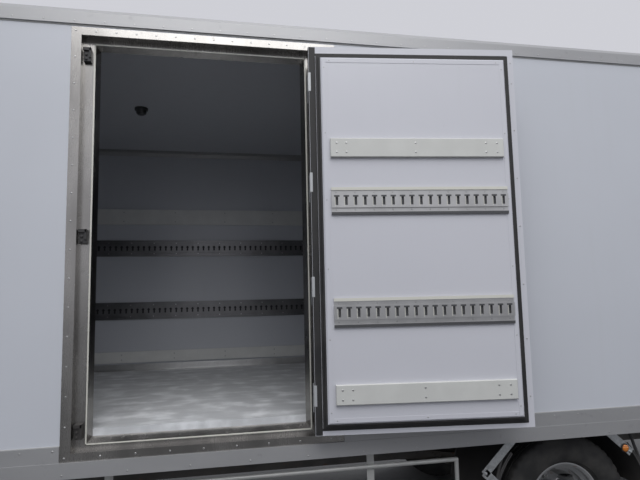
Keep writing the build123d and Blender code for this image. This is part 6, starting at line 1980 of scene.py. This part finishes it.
@dataclass
class CabInside:
    """Padded seats and the dashboard's fittings."""

    floor: float = 0.999
    seats: tuple[tuple[str, float, float], ...] = (("bench", -0.90, -0.05), ("driver", 0.33, 0.85))
    wheel: tuple[float, float, float] = (-0.640, 0.590, 1.500)
    wheel_tilt: float = 58.0

    def build(self) -> None:
        """Make the seats and the fittings."""
        for name, low, high in self.seats:
            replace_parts(self._base(name, low, high), "seats")
            wide, narrow = (low + 0.010, high - 0.010), (low + 0.012, high - 0.012)
            cushion = self._pad(name + "_cushion", (-0.352, 0.215), wide, (1.262, 1.386), Axis.Z)
            back = self._pad(name + "_back", (0.0, 0.125), narrow, (0.0, 0.475), Axis.X)
            for pad, fill in ((cushion, 0.85), (back, 0.8)):
                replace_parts(pad, "seats")
        self._dash()

    def _base(self, name: str, low: float, high: float) -> bpy.types.Object:
        """Make a seat's moulded base with its back shell.

        Args:
            name: the seat's name.
            low: its left edge.
            high: its right edge.

        Returns:
            The base.
        """
        plinth = Shape()
        plinth.prism([(-0.320, self.floor), (-0.325, 1.240), (-0.300, 1.268), (0.180, 1.268), (0.235, 1.300),
                      (0.200, self.floor)], low + 0.030, high - 0.030, SIDE_VIEW)
        plinth.prism([(0.175, 1.262), (0.268, 1.785), (0.292, 1.785), (0.240, 1.340), (0.225, 1.262)],
                     low + 0.025, high - 0.025, SIDE_VIEW)
        return plinth.piece(name + "_seat_shell", DASH_GREY, "cab", "dash_plastic", bevel=0.012)

    def _pad(self, name: str, x: tuple[float, float], y: tuple[float, float], z: tuple[float, float],
             crown: Axis) -> bpy.types.Object:
        """Make one crowned pad with a piped edge and sewn channels.

        Args:
            name: the pad's name.
            x: its depth, from front to back.
            y: its width.
            z: its height.
            crown: the way its seating face swells; a backrest is leant back afterwards.

        Returns:
            The pad.
        """
        cells = 26
        middle = Vector(((x[0] + x[1]) / 2, (y[0] + y[1]) / 2, (z[0] + z[1]) / 2))
        half = Vector(((x[1] - x[0]) / 2, (y[1] - y[0]) / 2, (z[1] - z[0]) / 2))
        upright = crown is Axis.X
        thin = 0 if upright else 2
        long_way = 2 if upright else 0
        facing = -1 if upright else 1
        lean = Matrix()
        if upright:
            lean = Matrix.Translation((0.068, 0.0, 1.318)) @ Matrix.Rotation(math.radians(12.5), 4, "Y")
        points: list[Vector] = []
        faces = []
        for axis in range(3):
            for sign in (-1.0, 1.0):
                faces += grid_faces(cells, len(points))
                for a in range(cells + 1):
                    for b in range(cells + 1):
                        spot = [0.0, 0.0, 0.0]
                        spot[axis] = sign
                        spot[(axis + 1) % 3] = 2 * a / cells - 1
                        spot[(axis + 2) % 3] = 2 * b / cells - 1
                        points.append(lean @ self._swollen(spot, thin, long_way, facing, middle, half))
        form = Shape()
        form.add(points, faces)
        pad = form.piece(name, SEAT_CLOTH, "cab", "seat_fabric", crease=70.0)
        smooth = pad.modifiers.new("soft_form", "SUBSURF")
        smooth.levels = 1
        smooth.render_levels = 1
        return pad

    def _swollen(self, spot: Sequence[float], thin: int, long_way: int, facing: int, middle: Vector,
                 half: Vector) -> Vector:
        """Move a point of the unit box on to the pad's surface.

        Args:
            spot: the point, each part from -1 to 1.
            thin: the pad's thin direction.
            long_way: the direction that the channels are counted along.
            facing: which way the seating face looks along the thin direction.
            middle: the pad's middle.
            half: its half sizes.

        Returns:
            The point on the pad.
        """
        power = 5.0
        size = sum(abs(part) ** power for part in spot) ** (1 / power)
        round_spot = [part / size for part in spot]
        u, v, w = round_spot[long_way], round_spot[1], round_spot[thin] * facing
        swell = 0.80 + 0.20 * (1 - u * u) ** 0.5 * (1 - v * v) ** 0.5 if abs(u) < 1 and abs(v) < 1 else 0.80
        if w > 0:
            bolster = 0.10 * math.exp(-((abs(v) - 0.82) / 0.13) ** 2)
            channels = sum(math.exp(-((u - line) / 0.022) ** 2) for line in (-0.45, -0.15, 0.15, 0.45))
            inside = 1 / (1 + math.exp((abs(v) - 0.70) * 60))
            side_seam = math.exp(-((abs(v) - 0.70) / 0.018) ** 2)
            swell += bolster - 0.075 * channels * inside - 0.085 * side_seam
        pull = 1 - 0.035 * (1 - abs(v) ** 2) * (1 - abs(w))
        place = [0.0, 0.0, 0.0]
        place[long_way] = round_spot[long_way] * half[long_way] * pull
        place[1] = round_spot[1] * half[1] * (1 - 0.015 * (1 - u * u))
        place[thin] = round_spot[thin] * half[thin] * swell
        return Vector(place) + middle

    def _dash(self) -> None:
        """Fit the binnacle with its dials, vents, glove box lid, levers, pedals and the wheel's rim."""
        hood, dials, rims, dark, rim = Shape(), Shape(), Shape(), Shape(), Shape()
        hood.prism([(-1.020, 1.425), (-0.985, 1.500), (-0.865, 1.515), (-0.852, 1.505), (-0.905, 1.475),
                    (-0.900, 1.410)], 0.395, 0.785, SIDE_VIEW)
        for y, radius in ((0.50, 0.050), (0.68, 0.050), (0.59, 0.026)):
            seat = aimed((-0.8985, y, 1.447), (0.96, 0.0, 0.10))
            dials.lathe([(radius, -0.002), (radius, 0.0012), (0.0, 0.0012)], 28, seat)
            outer = radius + 0.003
            rims.lathe([(outer, 0.0), (outer, 0.004), (radius, 0.004), (radius, 0.001)], 28, seat)
            for tick in range(9):
                spin = seat @ Matrix.Rotation(math.radians(-120 + 30 * tick), 4, "Z")
                rims.block((radius * 0.78, -0.0008, 0.001), (radius * 0.94, 0.0008, 0.0020), spin)
        slope = aimed((-0.834, 0.0, 1.340), (0.97, 0.0, 0.24))
        for y in (-0.85, -0.22, 0.16, 0.90):
            dark.block((-0.026, y - 0.055, -0.001), (0.026, y + 0.055, 0.0015), slope)
            for step in range(5):
                near = step * 0.010 - 0.022
                rims.block((near, y - 0.050, 0.001), (near + 0.004, y + 0.050, 0.005), slope)
        dark.block((-0.045, -0.72, -0.001), (-0.042, -0.36, 0.0012), slope)
        dark.block((0.047, -0.72, -0.001), (0.050, -0.36, 0.0012), slope)
        dark.block((-0.045, -0.01, -0.001), (0.045, 0.12, 0.0020), slope)
        path = [(-0.52, 0.17, 1.000), (-0.515, 0.17, 1.15), (-0.49, 0.175, 1.30), (-0.47, 0.18, 1.385)]
        rim.tube(path, 0.009, 10)
        rim.lathe([(0.010, -0.030), (0.024, -0.016), (0.028, 0.004), (0.020, 0.024), (0.0, 0.030)], 20,
                  aimed((-0.467, 0.181, 1.400), (0.15, 0.03, 1.0)))
        for y, wide in ((0.47, 0.035), (0.60, 0.035), (0.72, 0.025)):
            pedal = Matrix.Translation((-0.965, y, 1.115)) @ Matrix.Rotation(math.radians(-38), 4, "Y")
            rim.block((-0.045, -wide, -0.006), (0.045, wide, 0.006), pedal)
            rim.tube([(-0.975, y, 1.11), (-1.020, y, 1.24), (-1.050, y, 1.33)], 0.008, 8)
        place = Matrix.Translation(self.wheel) @ Matrix.Rotation(math.radians(-self.wheel_tilt), 4, "Y")
        sections = 72
        for step in range(sections):
            angle = math.tau * step / sections
            if 0.55 < (math.degrees(angle) % 120) / 120 < 0.95:
                continue
            knurl = place @ Matrix.Rotation(angle, 4, "Z") @ Matrix.Translation((0.205, 0.0, 0.0))
            ring = knurl @ Matrix.Rotation(math.pi / 2, 4, "X")
            rim.lathe([(0.0146, -0.0035), (0.0158, -0.0015), (0.0158, 0.0015), (0.0146, 0.0035)], 12, ring)
        for stalk in (-1, 1):
            rim.tube([(-0.70, 0.59 + stalk * 0.03, 1.45), (-0.69, 0.59 + stalk * 0.12, 1.462),
                      (-0.68, 0.59 + stalk * 0.165, 1.470)], 0.006, 8)
        hood.piece("dial_hood", DASH_GREY, "cab", "dash_plastic", bevel=0.006)
        dials.piece("dial_faces", SLOT_BLACK, "cab", "dash_plastic")
        rims.piece("dial_rims_and_vents", RIM_GREY, "cab", "dash_plastic")
        dark.piece("dash_vents_and_lids", SLOT_BLACK, "cab", "dash_plastic")
        rim.piece("levers_pedals_and_grip", MOULDED_BLACK, "cab", "dash_plastic")


# Studio

@dataclass
class Studio:
    """Floor, backdrop, soft lamps and the camera at the photograph's place."""

    eye: Point = (2.6409, -4.1039, 1.6542)
    yaw: float = 11.4094
    pitch: float = 6.0642
    roll: float = -1.2256
    focal_pixels: float = 535.12
    frame_pixels: float = 640.0
    sensor: float = 36.0
    floor_grey: float = 0.12
    fade: tuple[float, float] = (7.0, 26.0)
    backdrop: Colour = (0.62, 0.625, 0.67)
    sky: Colour = (0.86, 0.90, 1.0)
    sky_strength: float = 0.61

    def build(self) -> None:
        """Make the floor, the lamps, the sky and the camera."""
        self._view()
        self._floor()
        self._sky()
        self._lamps()
        log.info("studio is set")

    def _view(self) -> None:
        """Set the camera from the photograph's yaw, pitch and roll."""
        lens = bpy.data.cameras.new("photo_view")
        lens.sensor_width = self.sensor
        lens.lens = self.focal_pixels * self.sensor / self.frame_pixels
        lens.clip_end = 200.0
        camera = bpy.data.objects.new("photo_view", lens)
        yaw, pitch, roll = (math.radians(angle) for angle in (self.yaw, self.pitch, self.roll))
        ahead = Vector((math.sin(yaw) * math.cos(pitch), math.cos(yaw) * math.cos(pitch), math.sin(pitch)))
        level = Vector((math.cos(yaw), -math.sin(yaw), 0.0))
        upright = level.cross(ahead)
        right = level * math.cos(roll) + upright * math.sin(roll)
        up = upright * math.cos(roll) - level * math.sin(roll)
        turn = Matrix((right, up, -ahead)).transposed()
        camera.matrix_world = Matrix.Translation(Vector(self.eye)) @ turn.to_4x4()
        bpy.context.scene.collection.objects.link(camera)
        bpy.context.scene.camera = camera

    def _floor(self) -> None:
        """Lay a wide grey floor under the wheels."""
        reach = 60.0
        mesh = bpy.data.meshes.new("floor")
        mesh.from_pydata([(x, y, 0) for x, y in corners(-reach, reach, -reach, reach)], [], [(0, 1, 2, 3)])
        floor = bpy.data.objects.new("floor", mesh)
        bpy.context.scene.collection.objects.link(floor)
        dresser = Dresser("floor_pale")
        grit = dresser.noise(30.0, 6.0)
        dark, pale = ((self.floor_grey * share,) * 3 for share in (0.97, 1.02))
        tone = dresser.blend(grit.ramp(0.3, 0.7), dark, pale)
        dresser.surface(Base_Color=tone, Roughness=0.9)
        self._fade(dresser)
        mesh.materials.append(dresser.material)

    def _fade(self, dresser: Dresser) -> None:
        """Let the far floor go over into the backdrop, where it is seen directly.

        Args:
            dresser: the builder of the floor's material.
        """
        across, along = dresser.along(Axis.X) - 3.0, dresser.along(Axis.Y)
        far = ((across * across + along * along) ** 0.5).ramp(*self.fade)
        seen = Signal(dresser, dresser.node("ShaderNodeLightPath").outputs["Is Camera Ray"])
        glow = dresser.node("ShaderNodeEmission", inputs={"Color": self.backdrop})
        mixed = dresser.node("ShaderNodeMixShader", inputs={0: far * seen, 1: dresser.shader.outputs[0],
                                                            2: glow.outputs[0]})
        output = next(node for node in dresser.tree.nodes if node.bl_idname == "ShaderNodeOutputMaterial")
        dresser.feed(output.inputs["Surface"], mixed.outputs[0])

    def _sky(self) -> None:
        """Give the world a soft grey light, and a pale backdrop where it is seen directly."""
        world = bpy.data.worlds.new("studio_sky")
        world.use_nodes = True
        nodes, links = world.node_tree.nodes, world.node_tree.links
        nodes.clear()
        glow = nodes.new("ShaderNodeBackground")
        glow.inputs["Color"].default_value = (*self.sky, 1.0)
        glow.inputs["Strength"].default_value = self.sky_strength
        shown = nodes.new("ShaderNodeBackground")
        shown.inputs["Color"].default_value = (*self.backdrop, 1.0)
        path = nodes.new("ShaderNodeLightPath")
        pick = nodes.new("ShaderNodeMixShader")
        seen = path.outputs["Is Camera Ray"]
        for kind in ("Is Glossy Ray", "Is Transmission Ray"):
            either = nodes.new("ShaderNodeMath")
            either.operation = "MAXIMUM"
            links.new(seen, either.inputs[0])
            links.new(path.outputs[kind], either.inputs[1])
            seen = either.outputs[0]
        links.new(seen, pick.inputs[0])
        links.new(glow.outputs[0], pick.inputs[1])
        links.new(shown.outputs[0], pick.inputs[2])
        links.new(pick.outputs[0], nodes.new("ShaderNodeOutputWorld").inputs[0])
        bpy.context.scene.world = world
        bpy.context.scene.view_settings.view_transform = "Standard"

    def _lamps(self) -> None:
        """Hang wide soft lamps over and beside the truck."""
        for name, place, target, size, power in (
                ("sky_lamp", (3.0, -6.0, 9.0), (3.0, 0.0, 1.2), 9.0, 590.0),
                ("rear_lamp", (11.0, 6.0, 7.0), (4.0, 0.0, 1.5), 7.0, 320.0),
                ("front_lamp", (-6.0, 3.0, 6.0), (0.0, 0.0, 1.5), 6.0, 240.0)):
            light = bpy.data.lights.new(name, "AREA")
            light.shape = "DISK"
            light.size = size
            light.energy = power
            lamp = bpy.data.objects.new(name, light)
            lamp.matrix_world = aimed(place, Vector(place) - Vector(target))
            bpy.context.scene.collection.objects.link(lamp)


# Assembly

SUB_ASSEMBLIES = (Chassis, CabOutside, CabInside, BoxOutside, RearDoors, Wheels, SideDoorway, SideLeaf,
                  LoadSpace)


def main() -> None:
    """Dress the truck and light it."""
    logging.basicConfig(level=logging.INFO, format="%(name)s: %(message)s")
    palette.dress_nodes()
    for kind in SUB_ASSEMBLIES:
        log.info("building %s", kind.__name__)
        kind().build()
    Studio().build()


if __name__ == "__main__":
    main()
